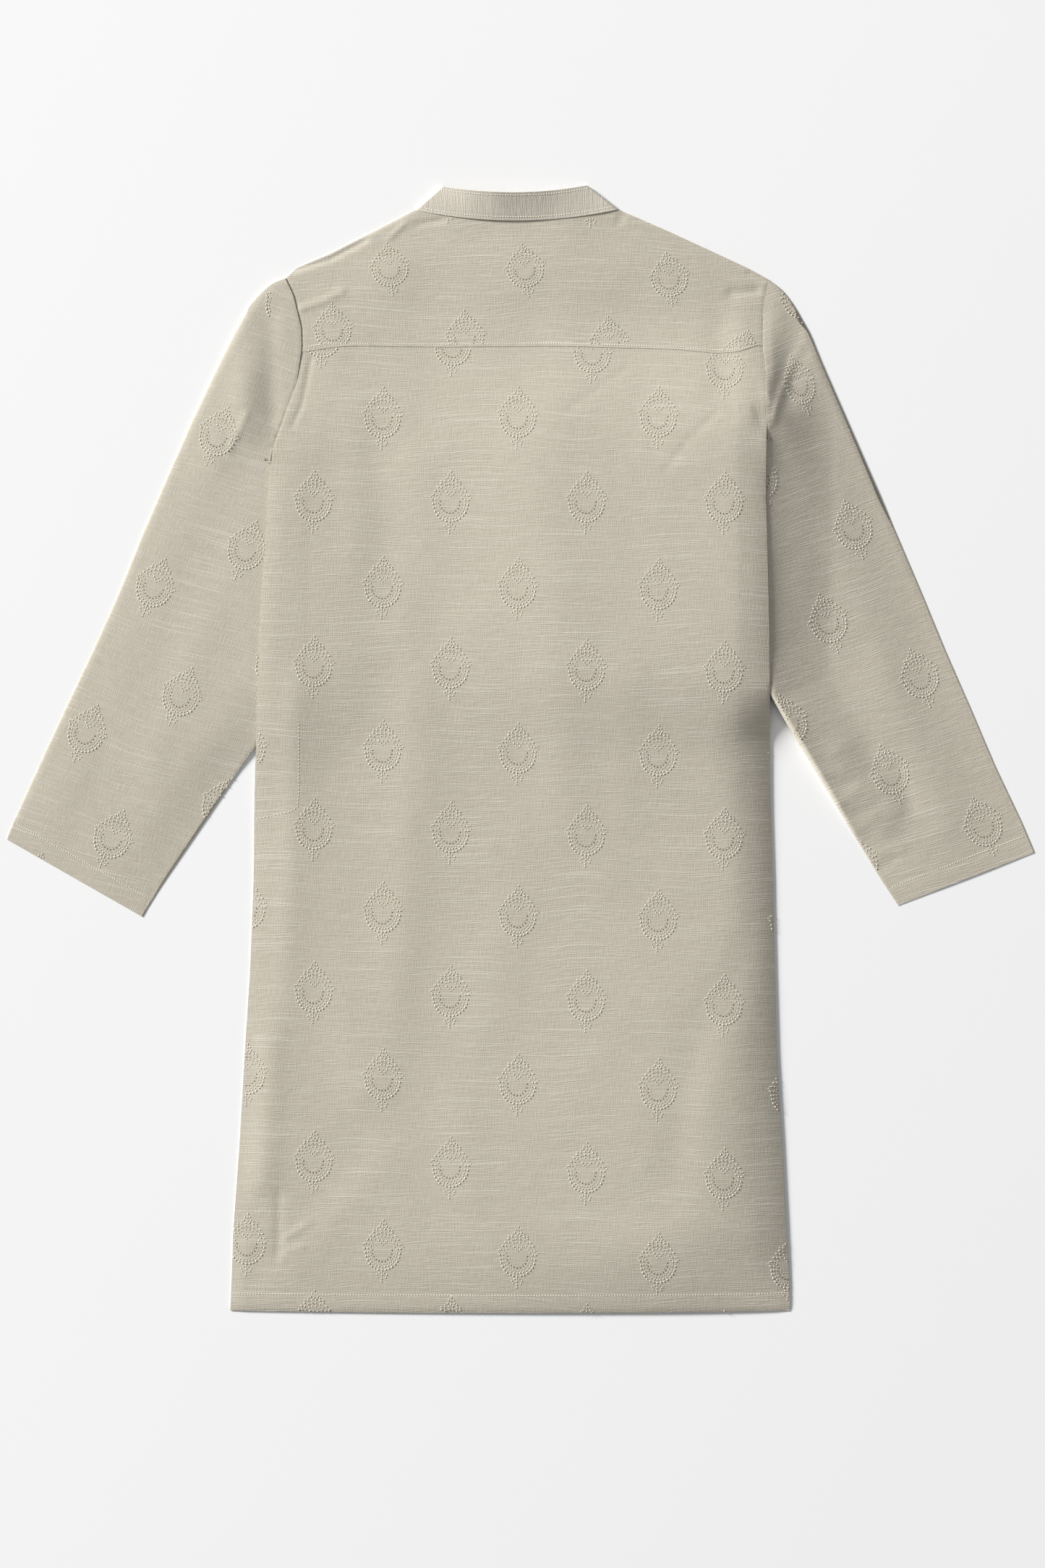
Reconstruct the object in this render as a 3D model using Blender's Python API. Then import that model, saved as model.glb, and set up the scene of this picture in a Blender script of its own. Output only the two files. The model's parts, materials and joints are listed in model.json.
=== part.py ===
"""Long kurta tunic of slub cotton with a band collar, laid flat on its front.

The back is up. X runs across the tunic, Y up to the collar and Z up from the
floor. Sizes are in millimetres and are turned into metres as a mesh is made.
"""

import bmesh
import bpy
import numpy as np

MM = 0.001

# Cloth
WALL = 1.0
PLY_GAP = 0.3
LAYER = WALL + PLY_GAP

# Body, seen from above: left is the wearer's left
HEM_LEVEL = -505.0
HEM_BOW = 2.3
HEM_CENTRE = -9.0
HEM_HALF = 251.0
UNDERARM_LEFT = 269.0
UNDERARM_RIGHT = 288.0
SHOULDER_LEFT = (-211.0, 423.5)
SHOULDER_RIGHT = (223.2, 422.3)
NECK_LEFT = (-94.6, 484.6)
NECK_RIGHT = (88.0, 485.2)

# Each row: height on the body, left edge, right edge. Armhole above the underarm
BODY_SIDES = (
    (-508.0, -261.0, 242.0),
    (-484.0, -260.0, 242.0),
    (-432.0, -258.0, 239.0),
    (-354.0, -252.5, 235.0),
    (-276.0, -248.0, 230.5),
    (-198.0, -243.0, 228.5),
    (-120.0, -240.0, 227.0),
    (-42.0, -239.0, 224.6),
    (46.0, -236.5, 224.0),
    (134.0, -232.0, 222.6),
    (234.0, -225.5, 220.0),
    (269.0, -223.0, 220.5),
    (286.0, -217.0, 221.0),
    (306.0, -210.0, 221.3),
    (329.0, -201.0, 220.5),
    (344.0, -199.0, 219.4),
    (359.0, -196.6, 217.6),
    (379.0, -197.0, 217.4),
    (393.0, -200.5, 217.5),
    (408.0, -204.0, 219.5),
    (422.5, -211.0, 223.2),
)

# Each row: distance across, height of the shoulder line
SHOULDER_LINE = (
    (-211.0, 423.5),
    (-201.0, 432.6),
    (-170.6, 445.6),
    (-132.3, 465.1),
    (-94.6, 484.6),
    (88.0, 485.2),
    (134.2, 465.1),
    (176.5, 445.6),
    (204.4, 432.6),
    (223.2, 422.3),
)

# Each row: distance across, height of the yoke's lower edge
YOKE_EDGE = (
    (-212.0, 357.0),
    (-197.0, 358.7),
    (-159.0, 362.4),
    (-78.0, 361.9),
    (26.0, 361.9),
    (142.0, 359.4),
    (177.0, 356.0),
    (218.0, 362.6),
)
YOKE_LAP = 8.0
YOKE_EASE = 24.0

# Sleeves, each row a point of the edge from the shoulder to the cuff
SLEEVE_OUTER_LEFT = (
    (-211.0, 423.5),
    (-222.0, 420.0),
    (-230.4, 413.1),
    (-242.8, 400.1),
    (-257.7, 374.1),
    (-270.7, 348.1),
    (-295.4, 296.1),
    (-318.2, 244.1),
    (-340.9, 192.1),
    (-361.7, 140.1),
    (-385.1, 88.1),
    (-409.8, 36.1),
    (-433.9, -15.9),
    (-457.3, -67.9),
    (-462.5, -81.0),
)
SLEEVE_INNER_LEFT = (
    (-223.3, 269.0),
    (-226.0, 254.0),
    (-214.0, 236.0),
    (-200.0, 212.0),
    (-190.0, 150.0),
    (-193.0, 80.0),
    (-217.0, 32.0),
    (-238.0, 2.0),
    (-251.0, -16.0),
    (-286.0, -68.0),
    (-321.0, -120.0),
    (-340.0, -151.0),
)
SLEEVE_OUTER_RIGHT = (
    (223.2, 422.3),
    (235.0, 413.5),
    (245.4, 400.1),
    (260.3, 374.1),
    (270.7, 348.1),
    (293.5, 296.1),
    (316.2, 244.1),
    (339.0, 192.1),
    (361.1, 140.1),
    (382.5, 88.1),
    (405.3, 36.1),
    (427.4, -15.9),
    (452.1, -67.9),
    (462.5, -93.0),
)
SLEEVE_INNER_RIGHT = (
    (221.4, 288.0),
    (224.5, 273.0),
    (213.0, 256.0),
    (200.0, 233.0),
    (190.0, 150.0),
    (193.0, 100.0),
    (208.0, 70.0),
    (224.0, 46.0),
    (231.0, 36.0),
    (263.0, -16.0),
    (294.0, -68.0),
    (326.0, -120.0),
    (339.6, -140.7),
)
FOLD_INSET = 0.6
ARMHOLE_GAP = 0.7
TUCK_START = 12.0
ARMHOLE_SPREAD = 36.0

# Band collar
COLLAR_TOP_LEFT = (-70.5, 505.4)
COLLAR_TOP_RIGHT = (60.0, 506.7)
COLLAR_BASE_SAG = 9.8
COLLAR_TOP_SAG = 6.2
COLLAR_LAP = 5.0
NECK_TURNS = (0.0, 0.25, 0.42, 0.58, 0.74, 0.88, 1.0)
NECK_CLEAR = 0.8
FRONT_NECK_BASE = 418.0
FRONT_NECK_TOP = 443.0

# Front opening
PLACKET_X = 12.0
PLACKET_HALF = 15.0
PLACKET_TOP = 416.5
PLACKET_FOOT = 134.0
SLASH_HALF = 0.35
SLASH_FOOT = 152.0
BUTTON_HEIGHTS = (380.0, 300.0, 220.0)
BUTTON_RADIUS = 5.5
BUTTON_THICK = 2.0
PLACKET_RISE = LAYER + BUTTON_THICK + PLY_GAP

# How the cloth stands: the lie of a seam, the fill between folds, the sleeve bunched under the body
SEAM_RISE = 1.2
BODY_FILL = 1.6
SLEEVE_FILL = 2.0
EDGE_ROLL = 14.0
SIDE_ROLL = 18.0
CUFF_ROLL = 12.0
BUNCH_LEFT = 2.2
BUNCH_RIGHT = 4.6
BUNCH_WIDTH = 22.0
TUCK_EASE = 42.0
LIFT_EASE = 1.07
PLACKET_EASE = 1.08

# Folds of the body. Each row: height of the fold, its half width, its path
BODY_FOLDS = (
    (2.6, 15.0, ((-200.0, 90.0), (-211.0, -60.0), (-215.0, -180.0), (-226.0, -300.0), (-237.0, -390.0))),
    (2.2, 23.0, ((-86.0, 250.0), (-77.0, 74.0), (-95.0, -67.0), (-106.0, -172.0))),
    (1.8, 15.0, ((-146.0, 307.0), (-140.0, 138.0))),
    (1.7, 20.0, ((22.0, 330.0), (29.0, 250.0), (36.0, 150.0))),
    (1.7, 16.0, ((108.0, 310.0), (103.0, 236.0))),
    (1.7, 18.0, ((100.0, 72.0), (98.0, -36.0))),
    (3.4, 24.0, ((196.0, -200.0), (193.0, -300.0), (197.0, -400.0), (203.0, -470.0))),
    (-3.0, 16.0, ((184.0, -170.0), (152.0, -224.0), (141.0, -306.0), (146.0, -380.0))),
    (-2.4, 13.0, ((-128.0, -362.0), (-180.0, -415.0), (-234.0, -474.0))),
    (1.6, 15.0, ((-158.0, -225.0), (-156.0, -310.0))),
    (1.7, 18.0, ((-49.0, -310.0), (-45.0, -396.0))),
    (-2.0, 14.0, ((200.0, 404.0), (199.0, 330.0))),
    (1.4, 14.0, ((150.0, 404.0), (152.0, 350.0))),
)
SLEEVE_FOLDS_LEFT = (
    (3.6, 7.0, ((-221.0, 408.0), (-218.5, 387.0), (-217.0, 360.0), (-214.5, 330.0), (-216.0, 298.0))),
    (-3.0, 13.0, ((-240.0, 396.0), (-237.0, 360.0), (-234.0, 320.0), (-233.0, 286.0))),
    (2.8, 11.0, ((-262.0, 340.0), (-306.0, 240.0), (-350.0, 138.0), (-398.0, 36.0), (-438.0, -52.0))),
    (-1.6, 20.0, ((-262.0, 280.0), (-318.0, 150.0), (-380.0, 18.0))),
)
SLEEVE_FOLDS_RIGHT = (
    (2.4, 6.0, ((238.0, 404.0), (237.0, 362.0), (232.0, 330.0), (227.0, 306.0))),
    (3.6, 7.0, ((262.0, 374.0), (248.0, 352.0), (242.0, 334.0), (231.0, 304.0))),
    (-3.0, 20.0, ((276.0, 338.0), (270.0, 250.0), (276.0, 150.0), (290.0, 60.0))),
    (2.2, 18.0, ((292.0, 270.0), (330.0, 180.0), (372.0, 80.0), (412.0, -10.0))),
)

# Grid of each piece. Columns are shares of the width, rows are heights up the body
SIDE_COLUMNS = (0.0, 0.022, 0.048, 0.078, 0.11, 0.145, 0.182, 0.22)
MIDDLE_COLUMNS = 14
BACK_LEVELS = (
    -505.0, -484.0, -456.0, -428.0, -400.0, -370.0, -340.0, -310.0, -280.0, -250.0, -220.0, -190.0, -160.0,
    -128.0, -98.0, -74.0, -52.0, -34.0, -17.0, 0.0, 15.0, 30.0, 45.0, 62.0, 82.0, 106.0, 132.0, 158.0,
    182.0, 204.0, 222.0, 236.0, 247.0, 256.0, 263.0, 269.0, 277.0, 286.0, 306.0, 317.0, 329.0, 344.0, 359.0,
)
FRONT_SKIPS_BELOW = -128.0
FRONT_LOWER_LEVELS = (-505.0, -430.0, -330.0, -230.0)
FRONT_UPPER_ROWS = 7
YOKE_ROWS = 8
SLEEVE_ROWS = (
    0.0, 0.010, 0.020, 0.030, 0.041, 0.053, 0.067, 0.085, 0.11, 0.145, 0.19, 0.24,
    0.30, 0.365, 0.43, 0.50, 0.57, 0.64, 0.71, 0.78, 0.85, 0.92, 1.0,
)
SLEEVE_OVER = (0.0, 0.05, 0.10, 0.197, 0.288, 0.35, 0.4175, 0.5146, 0.6117, 0.68, 0.7605, 0.825, 0.89, 0.95, 1.0)
SLEEVE_UNDER = (1.0, 0.866, 0.695, 0.471, 0.218, 0.0)
COLLAR_ROWS = 5

CLOTH = (0.533, 0.491, 0.413)
CLOTH_YOKE = (0.571, 0.527, 0.445)
CLOTH_SLEEVE = (0.552, 0.509, 0.420)
CLOTH_BAND = (0.485, 0.440, 0.352)
SHELL = (0.610, 0.560, 0.450)


def ease(low, high, value):
    """0 below low, 1 above high and smooth between; high may be the lower one."""
    part = np.clip((value - low) / (high - low), 0.0, 1.0)
    return part * part * (3.0 - 2.0 * part)


def roll(distance, reach):
    """Quarter ellipse from 0 at an edge to 1 at this reach."""
    part = np.clip(distance / reach, 0.0, 1.0)
    return np.sqrt(1.0 - (1.0 - part) ** 2)


def from_rows(value, rows, column):
    """Reads one column of a table of sizes at this value of its first column."""
    table = np.array(rows)
    order = np.argsort(table[:, 0])
    return np.interp(value, table[order, 0], table[order, column])


def from_path(x, y, path):
    """Distance in plan from a path of straight parts."""
    nearest = np.full(np.shape(x), 1.0e6)
    for (ax, ay), (bx, by) in zip(path, path[1:]):
        dx = bx - ax
        dy = by - ay
        along = np.clip(((x - ax) * dx + (y - ay) * dy) / (dx * dx + dy * dy), 0.0, 1.0)
        nearest = np.minimum(nearest, np.hypot(x - ax - along * dx, y - ay - along * dy))
    return nearest


def along_path(share, path):
    """Point at this share of a path's length."""
    points = np.array(path)
    steps = np.hypot(*np.diff(points, axis=0).T)
    length = np.concatenate([[0.0], np.cumsum(steps)])
    at = share * length[-1]
    return np.interp(at, length, points[:, 0]), np.interp(at, length, points[:, 1])


def folded(x, y, folds):
    """Height of all folds of a table at a point."""
    total = np.zeros(np.shape(x))
    for height, width, path in folds:
        total = total + height * np.exp(-((from_path(x, y, path) / width) ** 2))
    return total


def side_left(y):
    return from_rows(y, BODY_SIDES, 1)


def side_right(y):
    return from_rows(y, BODY_SIDES, 2)


def hem_level(x):
    return HEM_LEVEL - HEM_BOW * (1.0 - ((x - HEM_CENTRE) / HEM_HALF) ** 2)


def tucked_left(y):
    rows = [(py, px) for px, py in SLEEVE_INNER_LEFT[1:]]
    return from_rows(y, rows, 1)


def tucked_right(y):
    rows = [(py, px) for px, py in SLEEVE_INNER_RIGHT[1:]]
    return from_rows(y, rows, 1)


def side_path(column, top):
    """The body's side edge from the hem to the underarm, as a path."""
    return [(row[column], row[0]) for row in BODY_SIDES if row[0] <= top]


SHOULDERS_LEFT = tuple(reversed(SHOULDER_LINE[:5])) + SLEEVE_OUTER_LEFT[1:]
SHOULDERS_RIGHT = SHOULDER_LINE[5:] + SLEEVE_OUTER_RIGHT[1:]
SIDE_PATH_LEFT = side_path(1, UNDERARM_LEFT)
SIDE_PATH_RIGHT = side_path(2, UNDERARM_RIGHT)


def bunch(x, y):
    """The sleeve cloth bunched below the body's side edges."""
    left = ((-225.0, 228.0), (-231.0, 150.0), (-235.0, 60.0), (-238.0, 20.0))
    right = ((221.0, 250.0), (222.0, 160.0), (223.5, 90.0), (224.5, 60.0))
    over_left = BUNCH_LEFT * np.exp(-((from_path(x, y, left) / BUNCH_WIDTH) ** 2))
    over_right = BUNCH_RIGHT * np.exp(-((from_path(x, y, right) / BUNCH_WIDTH) ** 2))
    return over_left + over_right


def sleeve_lift(x, y):
    """How far the body is raised where it lies on the sleeves."""
    from_left = x - tucked_left(y)
    from_right = tucked_right(y) - x
    left = (1.0 - ease(3.0, TUCK_EASE, from_left)) * ease(UNDERARM_LEFT + 2.0, UNDERARM_LEFT - 11.0, y)
    right = (1.0 - ease(3.0, TUCK_EASE, from_right)) * ease(UNDERARM_RIGHT + 2.0, UNDERARM_RIGHT - 11.0, y)
    return np.maximum(left, right) * (2.0 * LAYER + SEAM_RISE + bunch(x, y))


def placket_lift(x, y):
    """How far the front is raised where it lies on the placket and its buttons."""
    across = 1.0 - ease(PLACKET_HALF + 2.0, PLACKET_HALF + 40.0, np.abs(x - PLACKET_X))
    thin = LAYER / PLACKET_RISE
    top = thin + (1.0 - thin) * ease(PLACKET_TOP, PLACKET_TOP - 24.0, y)
    foot = thin + (1.0 - thin) * ease(PLACKET_FOOT + 12.0, PLACKET_FOOT + 60.0, y)
    fade = ease(PLACKET_TOP + 44.0, PLACKET_TOP + 1.0, y) * ease(PLACKET_FOOT - 40.0, PLACKET_FOOT - 1.0, y)
    return PLACKET_RISE * across * np.minimum(top, foot) * fade


def under_strip_lift(x, y):
    """The further rise of the back over the placket's inner strip."""
    across = 1.0 - ease(PLACKET_HALF + 2.0, PLACKET_HALF + 32.0, np.abs(x - PLACKET_X))
    fade = ease(PLACKET_TOP + 34.0, PLACKET_TOP + 1.0, y) * ease(PLACKET_FOOT - 34.0, PLACKET_FOOT - 1.0, y)
    return LAYER * across * fade


def outline_roll(x, y):
    return roll(from_path(x, y, SHOULDERS_LEFT), EDGE_ROLL) * roll(from_path(x, y, SHOULDERS_RIGHT), EDGE_ROLL)


def body_relief(x, y):
    """The back's own rise: low at seams and edges, filled and folded between."""
    inside = np.minimum(x - side_left(y), side_right(y) - x)
    edge = outline_roll(x, y)
    edge = edge * roll(from_path(x, y, SIDE_PATH_LEFT), SIDE_ROLL)
    edge = edge * roll(from_path(x, y, SIDE_PATH_RIGHT), SIDE_ROLL)
    hem = 0.4 + 0.6 * roll(y - hem_level(x), 22.0)
    fill = np.maximum(BODY_FILL + folded(x, y, BODY_FOLDS), -0.8)
    return edge * hem * (SEAM_RISE + ease(0.0, 14.0, inside) * fill)


def sleeve_relief(x, y, inner, folds):
    """A sleeve's own rise above its under layer."""
    outside = np.where(x < 0.0, side_left(y) - x, x - side_right(y))
    edge = outline_roll(x, y) * roll(from_path(x, y, inner), CUFF_ROLL)
    fill = np.maximum(SLEEVE_FILL + folded(x, y, folds), -0.8)
    return edge * (SEAM_RISE + ease(0.0, 14.0, outside) * fill + bunch(x, y))


def back_floor(x, y):
    """Underside of the back layer: on the front, the sleeves and the placket."""
    lifted = LIFT_EASE**2 * sleeve_lift(x, y) + PLACKET_EASE**2 * placket_lift(x, y) + under_strip_lift(x, y)
    return LAYER + lifted + body_relief(x, y)


def cloth(name, colour):
    """A plain cloth material."""
    made = bpy.data.materials.new(name)
    made.use_nodes = True
    surface = made.node_tree.nodes["Principled BSDF"]
    surface.inputs["Base Color"].default_value = (*colour, 1.0)
    surface.inputs["Roughness"].default_value = 0.9
    made.diffuse_color = (*colour, 1.0)
    return made


def finish(bm, name, colour, angle=0.7):
    """Turns a mesh into one named object of the tunic."""
    bmesh.ops.recalc_face_normals(bm, faces=bm.faces)
    mesh = bpy.data.meshes.new(name)
    bm.to_mesh(mesh)
    bm.free()
    mesh.shade_smooth()
    mesh.set_sharp_from_angle(angle=angle)
    mesh.materials.append(cloth(name + "_cloth", colour))
    made = bpy.data.objects.new(name, mesh)
    TUNIC.objects.link(made)
    return made


def walled(name, colour, columns, rows, place, closed=False, left_out=None):
    """A wall of cloth: a grid laid on its outer face, then drawn through to its inner face.

    place takes the column, the row and the face, 0 outer and 1 inner, and gives the point.
    """
    bm = bmesh.new()
    bmesh.ops.create_grid(bm, x_segments=columns, y_segments=rows, size=0.5)
    across = bm.verts.layers.float.new("across")
    down = bm.verts.layers.float.new("down")
    for vert in bm.verts:
        vert[across] = round((vert.co.x + 0.5) * columns)
        vert[down] = round((vert.co.y + 0.5) * rows)
    if left_out is not None:
        gone = []
        for face in bm.faces:
            column = min(vert[across] for vert in face.verts)
            row = min(vert[down] for vert in face.verts)
            if left_out(int(column), int(row)):
                gone.append(face)
        bmesh.ops.delete(bm, geom=gone, context="FACES")
    settle(bm.verts, across, down, place, 0)
    if closed:
        bmesh.ops.remove_doubles(bm, verts=bm.verts, dist=1.0e-6)
        for vert in bm.verts:
            vert[across] = vert[across] % columns
    drawn = bmesh.ops.extrude_face_region(bm, geom=bm.faces[:])
    fresh = [item for item in drawn["geom"] if isinstance(item, bmesh.types.BMVert)]
    settle(fresh, across, down, place, 1)
    return finish(bm, name, colour)


def settle(verts, across, down, place, face):
    verts = list(verts)
    columns = np.array([vert[across] for vert in verts])
    rows = np.array([vert[down] for vert in verts])
    x, y, z = place(columns, rows, face)
    for vert, px, py, pz in zip(verts, x, y, z):
        vert.co = (px * MM, py * MM, pz * MM)


def column_x(u):
    """Distance across at the shoulders for this share of the width."""
    return SHOULDER_LEFT[0] + (SHOULDER_RIGHT[0] - SHOULDER_LEFT[0]) * u


def across_body(u, y):
    return side_left(y) + (side_right(y) - side_left(y)) * u


def lower_level(level, u):
    """A row of the body below the yoke, bowed near the hem as the hem is."""
    near_hem = ease(-380.0, HEM_LEVEL, level)
    return level + near_hem * (hem_level(-261.0 + 503.0 * u) - HEM_LEVEL)


MIDDLE = np.linspace(SIDE_COLUMNS[-1], 1.0 - SIDE_COLUMNS[-1], MIDDLE_COLUMNS + 1)
SIDES_MIRRORED = 1.0 - np.array(SIDE_COLUMNS[::-1])
BACK_COLUMNS = np.concatenate([SIDE_COLUMNS[:-1], MIDDLE, SIDES_MIRRORED[1:]])


# Back panel, its upper edge under the yoke


def place_back(column, row, face):
    u = BACK_COLUMNS[np.round(column).astype(int)]
    top = from_rows(column_x(u), YOKE_EDGE, 1) + YOKE_LAP
    levels = np.array(BACK_LEVELS + (0.0,))
    row = np.round(row).astype(int)
    y = np.where(row == len(BACK_LEVELS), top, lower_level(levels[row], u))
    x = across_body(u, y)
    z = back_floor(x, y) + WALL * (1 - face)
    return x, y, z


# Yoke, lapped over the back panel and under the collar


def neck_curve(x):
    share = np.clip((x - NECK_LEFT[0]) / (NECK_RIGHT[0] - NECK_LEFT[0]), 0.0, 1.0)
    return (COLLAR_LAP - COLLAR_BASE_SAG) * 4.0 * share * (1.0 - share)


def place_yoke(column, row, face):
    u = BACK_COLUMNS[np.round(column).astype(int)]
    foot = from_rows(column_x(u), YOKE_EDGE, 1)
    top = from_rows(column_x(u), SHOULDER_LINE, 1) + neck_curve(column_x(u))
    share = row / YOKE_ROWS
    y = foot + (top - foot) * (share + 0.35 * share * (share - 1.0))
    x = across_body(u, y)
    above = y - from_rows(x, YOKE_EDGE, 1)
    lapped = LAYER * ease(YOKE_LAP + 2.0 + YOKE_EASE, YOKE_LAP + 2.0, above)
    z = back_floor(x, y) + lapped + WALL * (1 - face)
    return x, y, z


# Front panel, cut with a slash for the opening


def share_across(x):
    return (x - SHOULDER_LEFT[0]) / (SHOULDER_RIGHT[0] - SHOULDER_LEFT[0])


SLASH_LEFT = share_across(PLACKET_X - SLASH_HALF)
SLASH_RIGHT = share_across(PLACKET_X + SLASH_HALF)
NECK_U_LEFT = share_across(NECK_LEFT[0] - NECK_CLEAR)
NECK_U_RIGHT = share_across(NECK_RIGHT[0] + NECK_CLEAR)
TURN_COSINES = np.cos(0.5 * np.pi * np.array(NECK_TURNS))
FRONT_COLUMNS = np.concatenate([
    SIDE_COLUMNS,
    NECK_U_LEFT + (SLASH_LEFT - NECK_U_LEFT) * (1.0 - TURN_COSINES),
    (NECK_U_RIGHT + (SLASH_RIGHT - NECK_U_RIGHT) * (1.0 - TURN_COSINES))[::-1],
    [0.735],
    SIDES_MIRRORED,
])
SLASH_COLUMN = int(np.argmin(np.abs(FRONT_COLUMNS - SLASH_LEFT)))
FRONT_LEVELS = FRONT_LOWER_LEVELS + tuple(level for level in BACK_LEVELS if level >= FRONT_SKIPS_BELOW)
SLASH_ROW = int(np.argmin(np.abs(np.array(FRONT_LEVELS) - SLASH_FOOT)))


def front_neck(x):
    """Depth of the front neckline below the shoulder points, a round scoop."""
    left = np.clip((PLACKET_X - x) / (PLACKET_X - NECK_LEFT[0] + NECK_CLEAR), 0.0, 1.0)
    right = np.clip((x - PLACKET_X) / (NECK_RIGHT[0] - PLACKET_X + NECK_CLEAR), 0.0, 1.0)
    away = np.maximum(left, right)
    return (NECK_LEFT[1] - FRONT_NECK_BASE) * np.sqrt(1.0 - away**2)


def place_front(column, row, face):
    u = FRONT_COLUMNS[np.round(column).astype(int)]
    inside = (u > NECK_U_LEFT - 1.0e-6) & (u < NECK_U_RIGHT + 1.0e-6)
    scoop = np.where(inside, front_neck(column_x(u)) + PLY_GAP, 0.0)
    top = from_rows(column_x(u), SHOULDER_LINE, 1) - scoop
    row = np.round(row).astype(int)
    last = len(FRONT_LEVELS) - 1
    levels = np.array(FRONT_LEVELS)[np.minimum(row, last)]
    upper = np.clip((row - last) / FRONT_UPPER_ROWS, 0.0, 1.0)
    y = lower_level(levels, u) + (top - levels) * upper
    x = across_body(u, y)
    z = LIFT_EASE * sleeve_lift(x, y) + PLACKET_EASE * placket_lift(x, y) + WALL * face
    return x, y, z


def slash(column, row):
    return column == SLASH_COLUMN and row >= SLASH_ROW


# Sleeves, each one flat tube open at the armhole and the cuff


def sleeve_places(outer, inner, column_of_side, folds, sign):
    shares_over = np.array(SLEEVE_OVER)
    shares_under = np.array(SLEEVE_UNDER)
    shares = np.concatenate([shares_over, [1.0], shares_under, [0.0]])
    layer = np.concatenate([np.full(len(shares_over), 2), [1], np.zeros(len(shares_under)), [1]])
    count = len(shares)

    def place(column, row, face):
        index = np.round(column).astype(int) % count
        share = shares[index]
        level = layer[index]
        along = np.array(SLEEVE_ROWS)[np.round(row).astype(int)]
        ox, oy = along_path(along, outer)
        ix, iy = along_path(along, inner)
        width = np.hypot(ix - ox, iy - oy)
        inset = np.where(level == 1, 0.0, FOLD_INSET) + WALL * face * np.where(level == 1, 1.1, 0.7)
        at = (inset + share * (width - 2.0 * inset)) / width
        x = ox + (ix - ox) * at
        y = oy + (iy - oy) * at
        top_y = outer[0][1]
        foot_y = inner[0][1]
        armhole_y = top_y + (foot_y - top_y) * at
        armhole_x = from_rows(armhole_y, BODY_SIDES, column_of_side)
        chord_x = outer[0][0] + (inner[0][0] - outer[0][0]) * at
        bend = (1.0 - ease(0.0, 0.30 - 0.24 * at, along)) * (armhole_x - chord_x)
        x = x + bend
        limit = from_rows(y, BODY_SIDES, column_of_side) + sign * (ARMHOLE_GAP + ARMHOLE_SPREAD * along)
        x = np.where((y >= foot_y - TUCK_START) & (sign * (x - limit) < 0.0), limit, x)
        over = 2.0 * WALL + PLY_GAP + sleeve_relief(x, y, inner, folds)
        z = np.where(level == 2, over - WALL * face, WALL * face)
        z = np.where(level == 1, 0.5 * (2.0 * WALL + PLY_GAP), z)
        return x, y, z

    return place, count


# Band collar: front half on the floor, back half over the yoke, open at the centre front


def collar_places():
    front = np.array(NECK_TURNS[::-1])
    back = np.linspace(0.0, 1.0, 23)
    shares = np.concatenate([front, [0.0], back, [0.0], front[::-1]])
    part = np.concatenate([
        np.full(len(front), 0), [1], np.full(len(back), 2), [3], np.full(len(front), 4),
    ])

    def place(column, row, face):
        index = np.round(column).astype(int)
        share = shares[index]
        kind = part[index]
        v = row / COLLAR_ROWS
        lx = NECK_LEFT[0] + (COLLAR_TOP_LEFT[0] - NECK_LEFT[0]) * v
        ly = NECK_LEFT[1] + (COLLAR_TOP_LEFT[1] - NECK_LEFT[1]) * v
        rx = NECK_RIGHT[0] + (COLLAR_TOP_RIGHT[0] - NECK_RIGHT[0]) * v
        ry = NECK_RIGHT[1] + (COLLAR_TOP_RIGHT[1] - NECK_RIGHT[1]) * v
        sag = COLLAR_BASE_SAG + (COLLAR_TOP_SAG - COLLAR_BASE_SAG) * v
        inset = 0.5 + WALL * face * 0.9
        back_x = lx + inset + (rx - lx - 2.0 * inset) * share
        back_y = ly + (ry - ly) * share - sag * 4.0 * share * (1.0 - share)
        turn = 0.5 * np.pi * share
        centre_y = FRONT_NECK_BASE + (FRONT_NECK_TOP - FRONT_NECK_BASE) * v
        left_end = PLACKET_X - 0.8
        right_end = PLACKET_X + 0.8
        fl_x = lx + inset + (left_end - lx - inset) * (1.0 - np.cos(turn))
        fl_y = centre_y + (ly - centre_y) * (1.0 - np.sin(turn))
        fr_x = rx - inset + (right_end - rx + inset) * (1.0 - np.cos(turn))
        fr_y = centre_y + (ry - centre_y) * (1.0 - np.sin(turn))
        mid = 1.1 * WALL * face
        x = np.select([kind == 0, kind == 1, kind == 2, kind == 3], [fl_x, lx + mid, back_x, rx - mid], fr_x)
        y = np.select([kind == 0, kind == 1, kind == 2, kind == 3], [fl_y, ly, back_y, ry], fr_y)
        over = 2.0 * LAYER + body_relief(x, y) + WALL * (1 - face)
        low = WALL * face
        z = np.select([kind == 2, (kind == 1) | (kind == 3)], [over, 0.5 * (3.0 * WALL + 2.0 * PLY_GAP) + 0.0 * x], low)
        return x, y, z

    return place, len(shares)


# Placket strips on both faces of the front


def strip(name, above):
    across = 4
    down = 16

    def place(column, row, face):
        x = PLACKET_X - PLACKET_HALF + 2.0 * PLACKET_HALF * column / across
        y = PLACKET_FOOT + (PLACKET_TOP - PLACKET_FOOT) * row / down
        if above:
            z = PLACKET_EASE * placket_lift(x, y) + LAYER + WALL * (1 - face)
        else:
            z = placket_lift(x, y) - LAYER + WALL * face
        return x, y, z

    return walled(name, CLOTH_BAND, across, down, place)


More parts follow.
